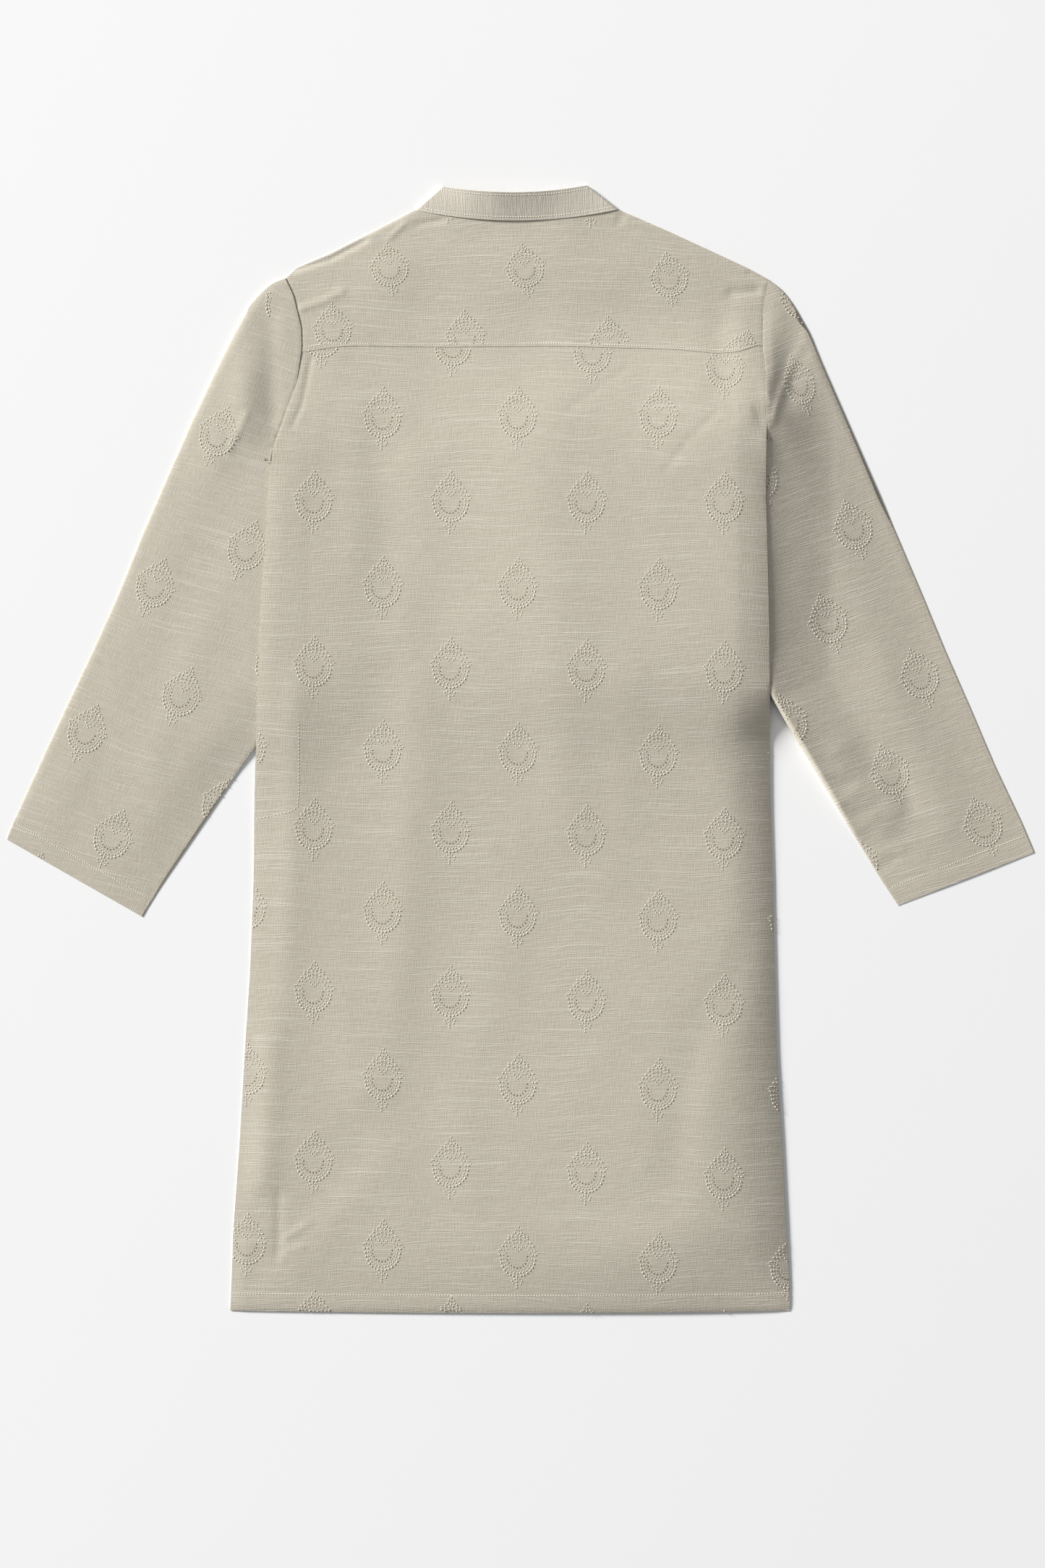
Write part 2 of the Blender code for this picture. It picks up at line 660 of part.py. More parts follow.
def button(name, y):
    """A flat shell button with a raised rim on its outer face and two holes."""
    bm = bmesh.new()
    profile = (
        (0.0, 0.5),
        (3.6, 0.5),
        (4.4, 0.0),
        (5.1, 0.0),
        (BUTTON_RADIUS, 0.5),
        (BUTTON_RADIUS, 1.5),
        (5.0, BUTTON_THICK),
        (0.0, BUTTON_THICK),
    )
    verts = [bm.verts.new(((PLACKET_X + r) * MM, y * MM, z * MM)) for r, z in profile]
    edges = [bm.edges.new(pair) for pair in zip(verts, verts[1:])]
    bmesh.ops.spin(
        bm,
        geom=verts + edges,
        cent=(PLACKET_X * MM, y * MM, 0.0),
        axis=(0.0, 0.0, 1.0),
        steps=16,
        angle=2.0 * np.pi,
        use_merge=True,
    )
    bmesh.ops.remove_doubles(bm, verts=bm.verts, dist=1.0e-6)
    return finish(bm, name, SHELL, 0.5)


for old in list(bpy.data.objects):
    bpy.data.objects.remove(old)

TUNIC = bpy.data.collections.new("kurta_tunic")
bpy.context.scene.collection.children.link(TUNIC)

walled("back_panel", CLOTH, len(BACK_COLUMNS) - 1, len(BACK_LEVELS), place_back)
walled("back_yoke", CLOTH_YOKE, len(BACK_COLUMNS) - 1, YOKE_ROWS, place_yoke)
front_rows = len(FRONT_LEVELS) - 1 + FRONT_UPPER_ROWS
walled("front_panel", CLOTH, len(FRONT_COLUMNS) - 1, front_rows, place_front, left_out=slash)

left_place, left_count = sleeve_places(SLEEVE_OUTER_LEFT, SLEEVE_INNER_LEFT, 1, SLEEVE_FOLDS_LEFT, -1.0)
walled("sleeve_left", CLOTH_SLEEVE, left_count, len(SLEEVE_ROWS) - 1, left_place, closed=True)
right_place, right_count = sleeve_places(SLEEVE_OUTER_RIGHT, SLEEVE_INNER_RIGHT, 2, SLEEVE_FOLDS_RIGHT, 1.0)
walled("sleeve_right", CLOTH_SLEEVE, right_count, len(SLEEVE_ROWS) - 1, right_place, closed=True)

band_place, band_count = collar_places()
walled("collar_band", CLOTH_BAND, band_count - 1, COLLAR_ROWS, band_place)

strip("placket_over", False)
strip("placket_under", True)
for number, height in enumerate(BUTTON_HEIGHTS, start=1):
    button(f"button_{number}", height)
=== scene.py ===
# %% [markdown]
# Kurta tunic, laid flat on its front.
#
# The real thing is a knee-length tunic of cream slub cotton with a band collar, a back
# yoke, long sleeves and rows of eyelet embroidery in thread of its own colour. It lies
# with its back up on a pale floor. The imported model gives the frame: this script dresses
# it, and each cloth solid is replaced by a finer sheet that lies where the solid lies.
# Sizes are written in millimetres and turned into metres as each mesh is made.

# %% Frame and tools
import math

import bmesh
import bpy
import numpy as np
from mathutils import Matrix
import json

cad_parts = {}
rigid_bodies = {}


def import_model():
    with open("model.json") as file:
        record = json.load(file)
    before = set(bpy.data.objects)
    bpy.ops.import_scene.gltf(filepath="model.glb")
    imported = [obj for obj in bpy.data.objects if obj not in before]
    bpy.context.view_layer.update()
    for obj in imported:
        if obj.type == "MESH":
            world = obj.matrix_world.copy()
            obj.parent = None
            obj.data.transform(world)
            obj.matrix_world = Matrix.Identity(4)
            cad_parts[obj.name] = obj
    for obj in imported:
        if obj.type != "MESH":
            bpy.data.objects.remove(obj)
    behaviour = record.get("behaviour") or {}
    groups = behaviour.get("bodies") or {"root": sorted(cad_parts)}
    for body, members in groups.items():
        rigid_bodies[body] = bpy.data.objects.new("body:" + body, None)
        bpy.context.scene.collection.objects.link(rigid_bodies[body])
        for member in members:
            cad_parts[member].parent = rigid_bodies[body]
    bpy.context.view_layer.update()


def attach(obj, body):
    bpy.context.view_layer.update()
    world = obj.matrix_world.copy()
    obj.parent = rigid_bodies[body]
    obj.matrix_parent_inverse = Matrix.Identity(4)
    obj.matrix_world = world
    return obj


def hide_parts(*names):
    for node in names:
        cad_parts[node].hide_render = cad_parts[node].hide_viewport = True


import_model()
MM = 0.001

# %% [markdown]
# The outlines of the cut pieces. A garment that lies flat is easiest to hold as plan
# outlines and one height for each place, so the sizes here are the same named ones that
# the solids were made from: edge tables across the body, the shoulder line, the yoke's
# lapped seam and the two edges of each sleeve.

# %% Sizes of the cut pieces
WALL = 1.0
PLY_GAP = 0.3
OVER_FRONT = 0.5
HEM_LEVEL = -505.0
HEM_BOW = 2.3
HEM_CENTRE = -9.0
HEM_HALF = 251.0
HEM_TURN = 16.0
UNDERARM_LEFT = 269.0
UNDERARM_RIGHT = 288.0
SHOULDER_LEFT = (-211.0, 423.5)
SHOULDER_RIGHT = (223.2, 422.3)
NECK_LEFT = (-94.6, 484.6)
NECK_RIGHT = (88.0, 485.2)

# Each row: height on the body, left edge, right edge
BODY_SIDES = (
    (-508.0, -261.0, 242.0),
    (-484.0, -260.0, 242.0),
    (-432.0, -258.0, 239.0),
    (-354.0, -252.5, 235.0),
    (-276.0, -248.0, 230.5),
    (-198.0, -243.0, 228.5),
    (-120.0, -240.0, 227.0),
    (-42.0, -239.0, 224.6),
    (46.0, -236.5, 224.0),
    (134.0, -232.0, 222.6),
    (234.0, -225.5, 220.0),
    (269.0, -223.0, 220.5),
    (286.0, -217.0, 221.0),
    (306.0, -210.0, 221.3),
    (329.0, -201.0, 220.5),
    (344.0, -199.0, 219.4),
    (359.0, -196.6, 217.6),
    (379.0, -197.0, 217.4),
    (393.0, -200.5, 217.5),
    (408.0, -204.0, 219.5),
    (422.5, -211.0, 223.2),
)
# Each row: distance across, height of the shoulder line
SHOULDER_LINE = (
    (-211.0, 423.5),
    (-201.0, 432.6),
    (-170.6, 445.6),
    (-132.3, 465.1),
    (-94.6, 484.6),
    (88.0, 485.2),
    (134.2, 465.1),
    (176.5, 445.6),
    (204.4, 432.6),
    (223.2, 422.3),
)
# Each row: distance across, height of the yoke's lower edge
YOKE_EDGE = (
    (-212.0, 357.0),
    (-197.0, 358.8),
    (-178.0, 361.4),
    (-159.0, 362.4),
    (-78.0, 361.2),
    (26.0, 361.9),
    (90.0, 360.4),
    (142.0, 359.0),
    (177.0, 355.4),
    (199.0, 356.4),
    (218.0, 362.6),
)
YOKE_LAP = 8.0
YOKE_STEP = 0.26
YOKE_EASE = 24.0
# Sleeve edges, each row a point from the shoulder to the cuff
SLEEVE_OUTER_LEFT = (
    (-211.0, 423.5), (-222.0, 420.0), (-230.4, 413.1), (-242.8, 400.1), (-257.7, 374.1),
    (-270.7, 348.1), (-295.4, 296.1), (-318.2, 244.1), (-340.9, 192.1), (-361.7, 140.1),
    (-385.1, 88.1), (-409.8, 36.1), (-433.9, -15.9), (-457.3, -67.9), (-462.5, -81.0),
)
SLEEVE_INNER_LEFT = (
    (-223.3, 269.0), (-221.5, 254.0), (-212.0, 238.0), (-200.0, 212.0), (-190.0, 150.0),
    (-193.0, 80.0), (-217.0, 32.0), (-238.0, 2.0), (-251.0, -16.0), (-286.0, -68.0),
    (-321.0, -120.0), (-340.0, -151.0),
)
SLEEVE_OUTER_RIGHT = (
    (223.2, 422.3), (235.0, 413.5), (245.4, 400.1), (260.3, 374.1), (270.7, 348.1),
    (293.5, 296.1), (316.2, 244.1), (339.0, 192.1), (361.1, 140.1), (382.5, 88.1),
    (405.3, 36.1), (427.4, -15.9), (452.1, -67.9), (462.5, -93.0),
)
SLEEVE_INNER_RIGHT = (
    (221.4, 288.0), (218.5, 274.0), (210.0, 256.0), (200.0, 233.0), (190.0, 150.0),
    (193.0, 100.0), (208.0, 70.0), (224.0, 46.0), (231.0, 36.0), (263.0, -16.0),
    (294.0, -68.0), (326.0, -120.0), (339.6, -140.7),
)
ARMHOLE_GAP = 0.15
ARMHOLE_SPREAD = 36.0
TUCK_START = 12.0
COLLAR_TOP_LEFT = (-70.5, 505.4)
COLLAR_TOP_RIGHT = (60.0, 506.7)
COLLAR_BASE_SAG = 9.8
COLLAR_TOP_SAG = 6.2
COLLAR_LAP = 5.0
NECK_CLEAR = 0.8
FRONT_NECK_BASE = 418.0
FRONT_NECK_TOP = 443.0
PLACKET_X = 12.0
PLACKET_HALF = 15.0
PLACKET_TOP = 416.5
PLACKET_FOOT = 134.0
SLASH_HALF = 0.35
BUTTON_THICK = 2.0
STRIP_THICK = 0.7
PLACKET_RISE = BUTTON_THICK + STRIP_THICK
print("length", round((COLLAR_TOP_RIGHT[1] - HEM_LEVEL + HEM_BOW) / 10.0, 1), "cm")

# %% [markdown]
# Small tools for shapes. ease and roll give soft steps and rounded edges, smoothed takes
# the corners out of a table of sizes, and from_path tells how far a place is from a line.
# They work on whole arrays at once, which is quick for a hundred thousand points.

# %% Tools for shapes


def ease(low, high, value):
    """0 below low, 1 above high and smooth between; high may be the lower one."""
    part = np.clip((value - low) / (high - low), 0.0, 1.0)
    return part * part * (3.0 - 2.0 * part)


def roll(distance, reach):
    """Quarter ellipse from 0 at an edge to 1 at this reach."""
    part = np.clip(distance / reach, 0.0, 1.0)
    return np.sqrt(1.0 - (1.0 - part) ** 2)


def dome(distance, reach):
    """From 0 at an edge to 1 at this reach, with the same bend all the way."""
    part = np.clip(distance / reach, 0.0, 1.0)
    return part * (2.0 - part)


def rounded(values, half):
    """A row of numbers with its corners rounded; both ends stay."""
    kernel = np.hanning(2 * half + 3)[1:-1]
    before = 2.0 * values[0] - values[half:0:-1]
    after = 2.0 * values[-1] - values[-2 : -half - 2 : -1]
    return np.convolve(np.concatenate([before, values, after]), kernel / kernel.sum(), "valid")


def smoothed(rows, column, reach):
    """A dense copy of one column of a table, without its corners."""
    table = np.array(rows)
    table = table[np.argsort(table[:, 0])]
    at = np.linspace(table[0, 0], table[-1, 0], 600)
    half = max(1, int(reach / (at[1] - at[0])))
    return at, rounded(np.interp(at, table[:, 0], table[:, column]), half)


def smooth_path(path, reach, count=400):
    """Points evenly along a path whose corners are rounded."""
    points = np.array(path)
    length = np.concatenate([[0.0], np.cumsum(np.hypot(*np.diff(points, axis=0).T))])
    at = np.linspace(0.0, length[-1], count)
    half = max(1, int(reach / (at[1] - at[0])))
    return np.stack([rounded(np.interp(at, length, points[:, axis]), half) for axis in (0, 1)], axis=1)


def from_path(x, y, path):
    """Distance in plan from a path of straight parts."""
    nearest = np.full(np.shape(x), 1.0e6)
    for (ax, ay), (bx, by) in zip(path[:-1], path[1:]):
        dx = bx - ax
        dy = by - ay
        along = np.clip(((x - ax) * dx + (y - ay) * dy) / (dx * dx + dy * dy), 0.0, 1.0)
        nearest = np.minimum(nearest, np.hypot(x - ax - along * dx, y - ay - along * dy))
    return nearest


def folded(x, y, folds):
    """Height of all folds of a table at a place. A row: height, half width, path."""
    total = np.zeros(np.shape(x))
    for height, width, path in folds:
        total = total + height * np.exp(-((from_path(x, y, path) / width) ** 2))
    return total


def uneven(x, y, cell, seed):
    """Soft unevenness from -1 to 1, with hills about this many millimetres apart."""
    lattice = np.random.default_rng(seed).uniform(-1.0, 1.0, (128, 128))
    gx = x / cell + 500.0
    gy = y / cell + 500.0
    ix = np.floor(gx).astype(int)
    iy = np.floor(gy).astype(int)
    fx = ease(0.0, 1.0, gx - ix)
    fy = ease(0.0, 1.0, gy - iy)
    low = lattice[ix % 128, iy % 128] * (1.0 - fx) + lattice[(ix + 1) % 128, iy % 128] * fx
    high = lattice[ix % 128, (iy + 1) % 128] * (1.0 - fx) + lattice[(ix + 1) % 128, (iy + 1) % 128] * fx
    return low * (1.0 - fy) + high * fy


LEFT_SIDE = smoothed(BODY_SIDES, 1, 9.0)
RIGHT_SIDE = smoothed(BODY_SIDES, 2, 9.0)
YOKE_SEAM = smoothed(YOKE_EDGE, 1, 12.0)
SHOULDER_X = [row[0] for row in SHOULDER_LINE]
SHOULDER_Y = [row[1] for row in SHOULDER_LINE]


def side_left(y):
    """Where the body's left edge runs at this height."""
    return np.interp(y, *LEFT_SIDE)


def side_right(y):
    """Where the body's right edge runs at this height."""
    return np.interp(y, *RIGHT_SIDE)


def beside_body(x, y):
    """How far a place is outside the body's side edge, to the left or to the right."""
    return np.where(x < 0.0, side_left(y) - x, x - side_right(y))


def yoke_seam(x):
    """Height of the yoke's lower edge."""
    return np.interp(x, *YOKE_SEAM)


def stitch_groove(distance, half_width):
    """1 on a line of stitches and 0 a few widths away, for seams that are pulled in."""
    return np.exp(-((distance / half_width) ** 2))


def hem_level(x):
    """Height of the hem, which bows a little."""
    return HEM_LEVEL - HEM_BOW * (1.0 - ((x - HEM_CENTRE) / HEM_HALF) ** 2)


def tucked(y, inner):
    """Where a sleeve's inner edge runs, under the body or beside it."""
    rows = sorted((py, px) for px, py in inner[1:])
    return np.interp(y, [row[0] for row in rows], [row[1] for row in rows])


print("body at the chest", round(float(side_right(UNDERARM_LEFT) - side_left(UNDERARM_LEFT)), 1), "mm across")

# %% [markdown]
# How the cloth lies. The back rests on the front, both climb over the sleeves below the
# underarm, and the placket with its buttons makes a soft ridge down the middle. The right
# half stands fuller, over the bunched sleeve. The main folds are listed as paths with a
# height and a width: a positive row is a ridge and a negative one a trough. Fine creases
# come after them, from pressing and sewing. Listing each fold keeps it where it lies on
# the real tunic, where a simulated sheet would settle in folds of its own.

# %% Folds as listed paths
# Each row: height on the body, how high its right half lies, reach of the soft right edge
RIGHT_HALF = (
    (-510.0, 7.0, 126.0),
    (-480.0, 8.2, 122.0),
    (-420.0, 8.2, 104.0),
    (-330.0, 8.4, 84.0),
    (-240.0, 6.8, 62.0),
    (-150.0, 5.0, 44.0),
    (-60.0, 5.4, 44.0),
    (0.0, 7.8, 58.0),
    (60.0, 15.0, 44.0),
    (100.0, 16.6, 38.0),
    (150.0, 17.2, 34.0),
    (210.0, 17.3, 30.0),
    (262.0, 17.2, 26.0),
    (285.0, 16.2, 18.0),
    (310.0, 13.2, 14.0),
    (330.0, 10.4, 14.0),
    (350.0, 6.9, 14.0),
    (375.0, 2.8, 12.0),
    (404.0, 0.2, 12.0),
    (425.0, 0.0, 12.0),
)
BODY_FOLDS = (
    (0.8, 21.0, ((-204.0, 50.0), (-208.0, 0.0), (-210.0, -60.0), (-217.0, -150.0), (-226.0, -220.0))),
    (2.8, 18.0, ((-236.0, -262.0), (-238.0, -330.0), (-243.0, -384.0))),
    (3.0, 11.0, ((-262.0, -500.0), (-259.0, -452.0))),
    (0.8, 24.0, ((-92.0, 250.0), (-98.0, 100.0), (-93.0, 0.0), (-104.0, -150.0), (-128.0, -300.0))),
    (0.5, 17.0, ((-150.0, 307.0), (-146.0, 180.0))),
    (0.9, 32.0, ((24.0, 300.0), (22.0, 180.0), (34.0, 60.0), (40.0, -60.0))),
    (0.4, 20.0, ((100.0, 72.0), (92.0, -60.0))),
    (0.4, 22.0, ((-14.0, -140.0), (-30.0, -250.0))),
    (-0.8, 22.0, ((202.0, -184.0), (168.0, -240.0), (146.0, -306.0), (140.0, -380.0))),
    (-0.4, 16.0, ((-140.0, -366.0), (-185.0, -415.0), (-236.0, -468.0))),
    (0.5, 22.0, ((-128.0, -372.0), (-176.0, -425.0), (-212.0, -484.0))),
    (0.4, 17.0, ((-158.0, -225.0), (-150.0, -310.0))),
    (0.4, 20.0, ((-52.0, -310.0), (-48.0, -396.0))),
    (0.6, 26.0, ((110.0, -446.0), (170.0, -436.0), (232.0, -440.0))),
    (-0.6, 14.0, ((186.0, 410.0), (178.0, 370.0), (182.0, 330.0))),
    (1.3, 15.0, ((214.0, 410.0), (213.0, 350.0), (212.0, 300.0))),
    (-0.5, 26.0, ((-70.0, 478.0), (0.0, 474.0), (70.0, 474.0))),
    (0.9, 40.0, ((-110.0, 416.0), (110.0, 414.0))),
)
SLEEVE_FOLDS_LEFT = (
    (1.5, 15.0, ((-252.0, 388.0), (-249.0, 330.0), (-246.0, 292.0))),
    (1.0, 26.0, ((-276.0, 372.0), (-274.0, 320.0), (-276.0, 262.0))),
    (-0.6, 9.0, ((-226.0, 390.0), (-224.0, 340.0), (-223.0, 300.0))),
    (0.6, 24.0, ((-262.0, 340.0), (-306.0, 240.0), (-350.0, 138.0), (-398.0, 36.0), (-438.0, -52.0))),
    (0.5, 18.0, ((-280.0, 120.0), (-300.0, 60.0), (-330.0, -10.0))),
)
SLEEVE_FOLDS_RIGHT = (
    (0.9, 10.0, ((232.0, 412.0), (227.0, 370.0), (224.0, 340.0))),
    (-2.2, 13.0, ((252.0, 386.0), (246.0, 350.0), (240.0, 318.0))),
    (0.8, 4.0, ((259.0, 373.0), (246.0, 350.0), (238.0, 330.0), (225.0, 293.0))),
    (0.8, 24.0, ((330.0, 60.0), (352.0, 0.0), (378.0, -60.0))),
    (1.0, 14.0, ((288.0, -4.0), (306.0, -34.0), (326.0, -66.0))),
)
# Fine creases, only in the scene
BACK_CREASES = (
    (-0.22, 3.5, ((131.0, 250.0), (150.0, 276.0), (177.0, 303.0))),
    (-0.2, 3.0, ((40.0, 303.0), (96.0, 342.0))),
    (-0.4, 2.5, ((-188.0, 352.0), (-196.0, 310.0), (-204.0, 292.0))),
    (-0.4, 4.0, ((-217.0, -400.0), (-218.0, -455.0))),
    (0.4, 3.5, ((-210.0, -440.0), (-190.0, -425.0))),
    (0.3, 3.5, ((-214.0, -456.0), (-196.0, -448.0))),
)
YOKE_CREASES = (
    (-0.9, 3.0, ((-203.0, 431.0), (-172.0, 440.0), (-140.0, 457.0))),
    (-0.6, 2.4, ((-93.0, 471.0), (-84.0, 473.0), (-70.0, 476.0))),
    (0.5, 2.5, ((-118.0, 459.0), (-104.0, 472.0))),
    (0.7, 3.0, ((-197.0, 396.0), (-178.0, 402.0), (-160.0, 411.0))),
    (-0.6, 2.2, ((88.0, 472.0), (91.0, 480.0), (94.0, 483.0))),
    (-0.8, 4.0, ((190.0, 410.0), (212.0, 412.0))),
    (-0.5, 3.0, ((206.0, 428.0), (222.0, 422.0))),
)
print("folds placed:", len(BODY_FOLDS) + len(SLEEVE_FOLDS_LEFT) + len(SLEEVE_FOLDS_RIGHT))

# %% [markdown]
# Edges as paths. Every rounded edge and every soft slope is measured from a line: the
# sleeves' edges, the outline that touches the floor and the side seams. A path of short
# straight parts gives that distance anywhere, also round a corner.

# %% Edges as paths
OUTER_CORNER = 10.0
INNER_CORNER = 8.0
PATH_FOOT = -510.0
OUTER_LEFT = smooth_path(SLEEVE_OUTER_LEFT, OUTER_CORNER)
OUTER_RIGHT = smooth_path(SLEEVE_OUTER_RIGHT, OUTER_CORNER)
INNER_LEFT = smooth_path(SLEEVE_INNER_LEFT, INNER_CORNER)
INNER_RIGHT = smooth_path(SLEEVE_INNER_RIGHT, INNER_CORNER)
OUTLINE_LEFT = np.concatenate([np.array(SHOULDER_LINE[:5])[::-1], OUTER_LEFT[10::14]])
OUTLINE_RIGHT = np.concatenate([np.array(SHOULDER_LINE[5:]), OUTER_RIGHT[10::14]])


def side_path(side, top, count):
    """One side edge of the body as a path, up to this height."""
    levels = np.linspace(PATH_FOOT, top, count)
    return np.stack([side(levels), levels], axis=1)


SIDE_PATH_LEFT = side_path(side_left, UNDERARM_LEFT, 24)
SIDE_PATH_RIGHT = side_path(side_right, UNDERARM_RIGHT, 24)
SIDE_PATH_RIGHT_LONG = side_path(side_right, SHOULDER_RIGHT[1], 28)
print("outline points", len(OUTLINE_LEFT) + len(OUTLINE_RIGHT))

# %% [markdown]
# What raises the body. Both sleeves run under it below the underarm, the right one bunched
# high. The placket and its buttons lie under the front. Each raises what lies on it, and a
# pair of heights tells where that begins and where it is full. Cloth bridges a step, so
# these fades are wider than the things below.

# %% What raises the body
SEAM_RISE = 1.0
SLEEVE_BASE = 2.3
SLEEVE_FALL = 1.9
BUNCH_LEFT = 1.2
BUNCH_WIDTH_LEFT = 34.0
BUNCH_RIGHT = 13.0
BUNCH_REACH = 60.0
BUNCH_REACH_LOW = 54.0
BUNCH_REACH_GROWS = (40.0, 200.0)
BUNCH_FAR = 160.0
BUNCH_NEAR_SHARE = 0.68
BUNCH_NEAR_POWER = 1.4
BUNCH_UPPER_END = (404.0, 300.0)
BUNCH_LOWER_END = (-130.0, 40.0)
BUNCH_GROWS = (20.0, 200.0)
BUNCH_GROWTH = 0.2
BUNCHED_LEFT = ((-225.0, 228.0), (-231.0, 150.0), (-235.0, 60.0), (-238.0, 20.0))
BUNCHED_RIGHT = (
    (218.0, 380.0), (219.5, 330.0), (221.0, 280.0), (222.0, 160.0), (223.5, 90.0), (228.0, 46.0),
    (262.0, -14.0), (294.0, -68.0),
)
RIGHT_HALF_FROM = -190.0
RIGHT_HALF_TO = 195.0
TUCK_EASE_LEFT = (3.0, 105.0)
SLEEVE_SINK = 0.2
LIFT_TOP_LEFT = (UNDERARM_LEFT + 96.0, UNDERARM_LEFT - 11.0)
LIFT_FOOT_LEFT = (-110.0, 70.0)
LIFT_TOP_RIGHT = (UNDERARM_RIGHT + 40.0, UNDERARM_RIGHT - 11.0)
LIFT_FOOT_RIGHT = (4.0, 60.0)


def bunch_left(x, y):
    """The left sleeve's cloth bunched below the body's side edge."""
    return BUNCH_LEFT * np.exp(-((from_path(x, y, BUNCHED_LEFT) / BUNCH_WIDTH_LEFT) ** 2))


def bunch_right(x, y):
    """The right sleeve's cloth, bunched higher under the body and beside the armhole."""
    reach = BUNCH_REACH_LOW + (BUNCH_REACH - BUNCH_REACH_LOW) * ease(*BUNCH_REACH_GROWS, y)
    away = from_path(x, y, BUNCHED_RIGHT)
    near = (1.0 - np.clip(away / reach, 0.0, 1.0)) ** BUNCH_NEAR_POWER
    far = 1.0 - np.clip(away / BUNCH_FAR, 0.0, 1.0)
    slope = BUNCH_NEAR_SHARE * near + (1.0 - BUNCH_NEAR_SHARE) * far
    outside = np.where(x > side_right(y), slope, 1.0)
    low = BUNCH_GROWTH * ease(*BUNCH_GROWS, y) + (1.0 - BUNCH_GROWTH) * ease(*BUNCH_LOWER_END, y)
    return BUNCH_RIGHT * outside * ease(*BUNCH_UPPER_END, y) * low


def right_half(x):
    """How much of the right half's rise a place has: nearly an even slope across the back."""
    share = np.clip((x - RIGHT_HALF_FROM) / (RIGHT_HALF_TO - RIGHT_HALF_FROM), 0.0, 1.0)
    return 0.6 * share + 0.4 * share * share * (3.0 - 2.0 * share)


def left_lift(x, y):
    """How far the body is raised where it lies on the left sleeve."""
    left = 1.0 - ease(*TUCK_EASE_LEFT, x - tucked(y, SLEEVE_INNER_LEFT))
    left = left * ease(*LIFT_TOP_LEFT, y) * ease(*LIFT_FOOT_LEFT, y)
    return left * (SLEEVE_BASE - SLEEVE_SINK + SEAM_RISE + bunch_left(x, y))


def right_lift(x, y):
    """The same for the right sleeve, which lies bunched under the body."""
    right = right_half(x) * ease(*LIFT_TOP_RIGHT, y) * ease(*LIFT_FOOT_RIGHT, y)
    return right * (SLEEVE_BASE - SLEEVE_SINK + SEAM_RISE + bunch_right(x, y))


PLACKET_EASE = (PLACKET_HALF + 2.0, PLACKET_HALF + 40.0)
RIDGE_EASE = (PLACKET_HALF + 2.0, PLACKET_HALF + 95.0)
RIDGE_RISE = 1.0


def placket_lift(x, y):
    """How far the front is raised where it lies on the placket and its buttons."""
    across = 1.0 - ease(*PLACKET_EASE, np.abs(x - PLACKET_X))
    thin = STRIP_THICK / PLACKET_RISE
    top = thin + (1.0 - thin) * ease(PLACKET_TOP, PLACKET_TOP - 24.0, y)
    foot = thin + (1.0 - thin) * ease(PLACKET_FOOT + 12.0, PLACKET_FOOT + 60.0, y)
    fade = ease(PLACKET_TOP + 44.0, PLACKET_TOP + 1.0, y) * ease(PLACKET_FOOT - 40.0, PLACKET_FOOT - 1.0, y)
    return PLACKET_RISE * across * np.minimum(top, foot) * fade


def ridge_lift(x, y):
    """The back bridges the placket more softly than the front that lies on it."""
    across = 1.0 - ease(*RIDGE_EASE, np.abs(x - PLACKET_X))
    fade = ease(PLACKET_TOP + 60.0, PLACKET_TOP - 10.0, y) * ease(PLACKET_FOOT - 130.0, PLACKET_FOOT, y)
    return RIDGE_RISE * across * fade


print("sleeve under the body", SLEEVE_BASE + SEAM_RISE, "mm, bunched on the right by", BUNCH_RIGHT, "mm")

# %% [markdown]
# Edges and hem. A laid garment thins to nothing at its folded and sewn edges and is full
# between them. A share is 0 at an edge and 1 where the cloth is full. The left edges are
# round, the right ones fall away over a longer way, and the hem lies nearly flat.

# %% Edges and hem
EDGE_ROLL = 8.0
LEFT_THIN = (0.5, 44.0)
RIGHT_THIN = (0.25, 60.0)
HEM_SHARE = 0.12
HEM_FADE = 80.0
SWELL_HEM_FADE = 84.0


def outline_roll(x, y):
    """0 at the shoulders and the sleeves' folds, 1 where the cloth is full."""
    left = from_path(x, y, OUTLINE_LEFT)
    right = from_path(x, y, OUTLINE_RIGHT)
    left_share = LEFT_THIN[0] + (1.0 - LEFT_THIN[0]) * ease(0.0, LEFT_THIN[1], left)
    right_share = RIGHT_THIN[0] + (1.0 - RIGHT_THIN[0]) * ease(0.0, RIGHT_THIN[1], right)
    return roll(left, EDGE_ROLL) * dome(right, 0.75 * EDGE_ROLL) * (left_share * right_share)


def hem_share(x, y, fade=HEM_FADE):
    """The fullness of the body goes down toward its hem."""
    return HEM_SHARE + (1.0 - HEM_SHARE) * dome(y - hem_level(x), fade)


RIGHT_RISE = smoothed(RIGHT_HALF, 1, 24.0)
RIGHT_REACH = smoothed(RIGHT_HALF, 2, 36.0)
SWELL_UNDERARM = (UNDERARM_RIGHT - 14.0, UNDERARM_RIGHT + 24.0)
SWELL_HELD = (0.08, 0.20)
SWELL_HELD_FROM = (10.0, 80.0)


def right_swell(x, y):
    """How far the back's right half stands above the front there, less toward its edge."""
    full = right_half(x) * np.maximum(np.interp(y, *RIGHT_RISE), 0.0)
    near = dome(from_path(x, y, SIDE_PATH_RIGHT_LONG), np.interp(y, *RIGHT_REACH))
    near = np.maximum(near, ease(*SWELL_UNDERARM, y))
    held = SWELL_HELD[0] + SWELL_HELD[1] * ease(*SWELL_HELD_FROM, y)
    edge = (held + (1.0 - held) * near) * outline_roll(x, y)
    return np.maximum(full - right_lift(x, y), 0.0) * edge * hem_share(x, y, SWELL_HEM_FADE)


print("right half stands", round(float(np.max(RIGHT_RISE[1])), 1), "mm at its fullest")

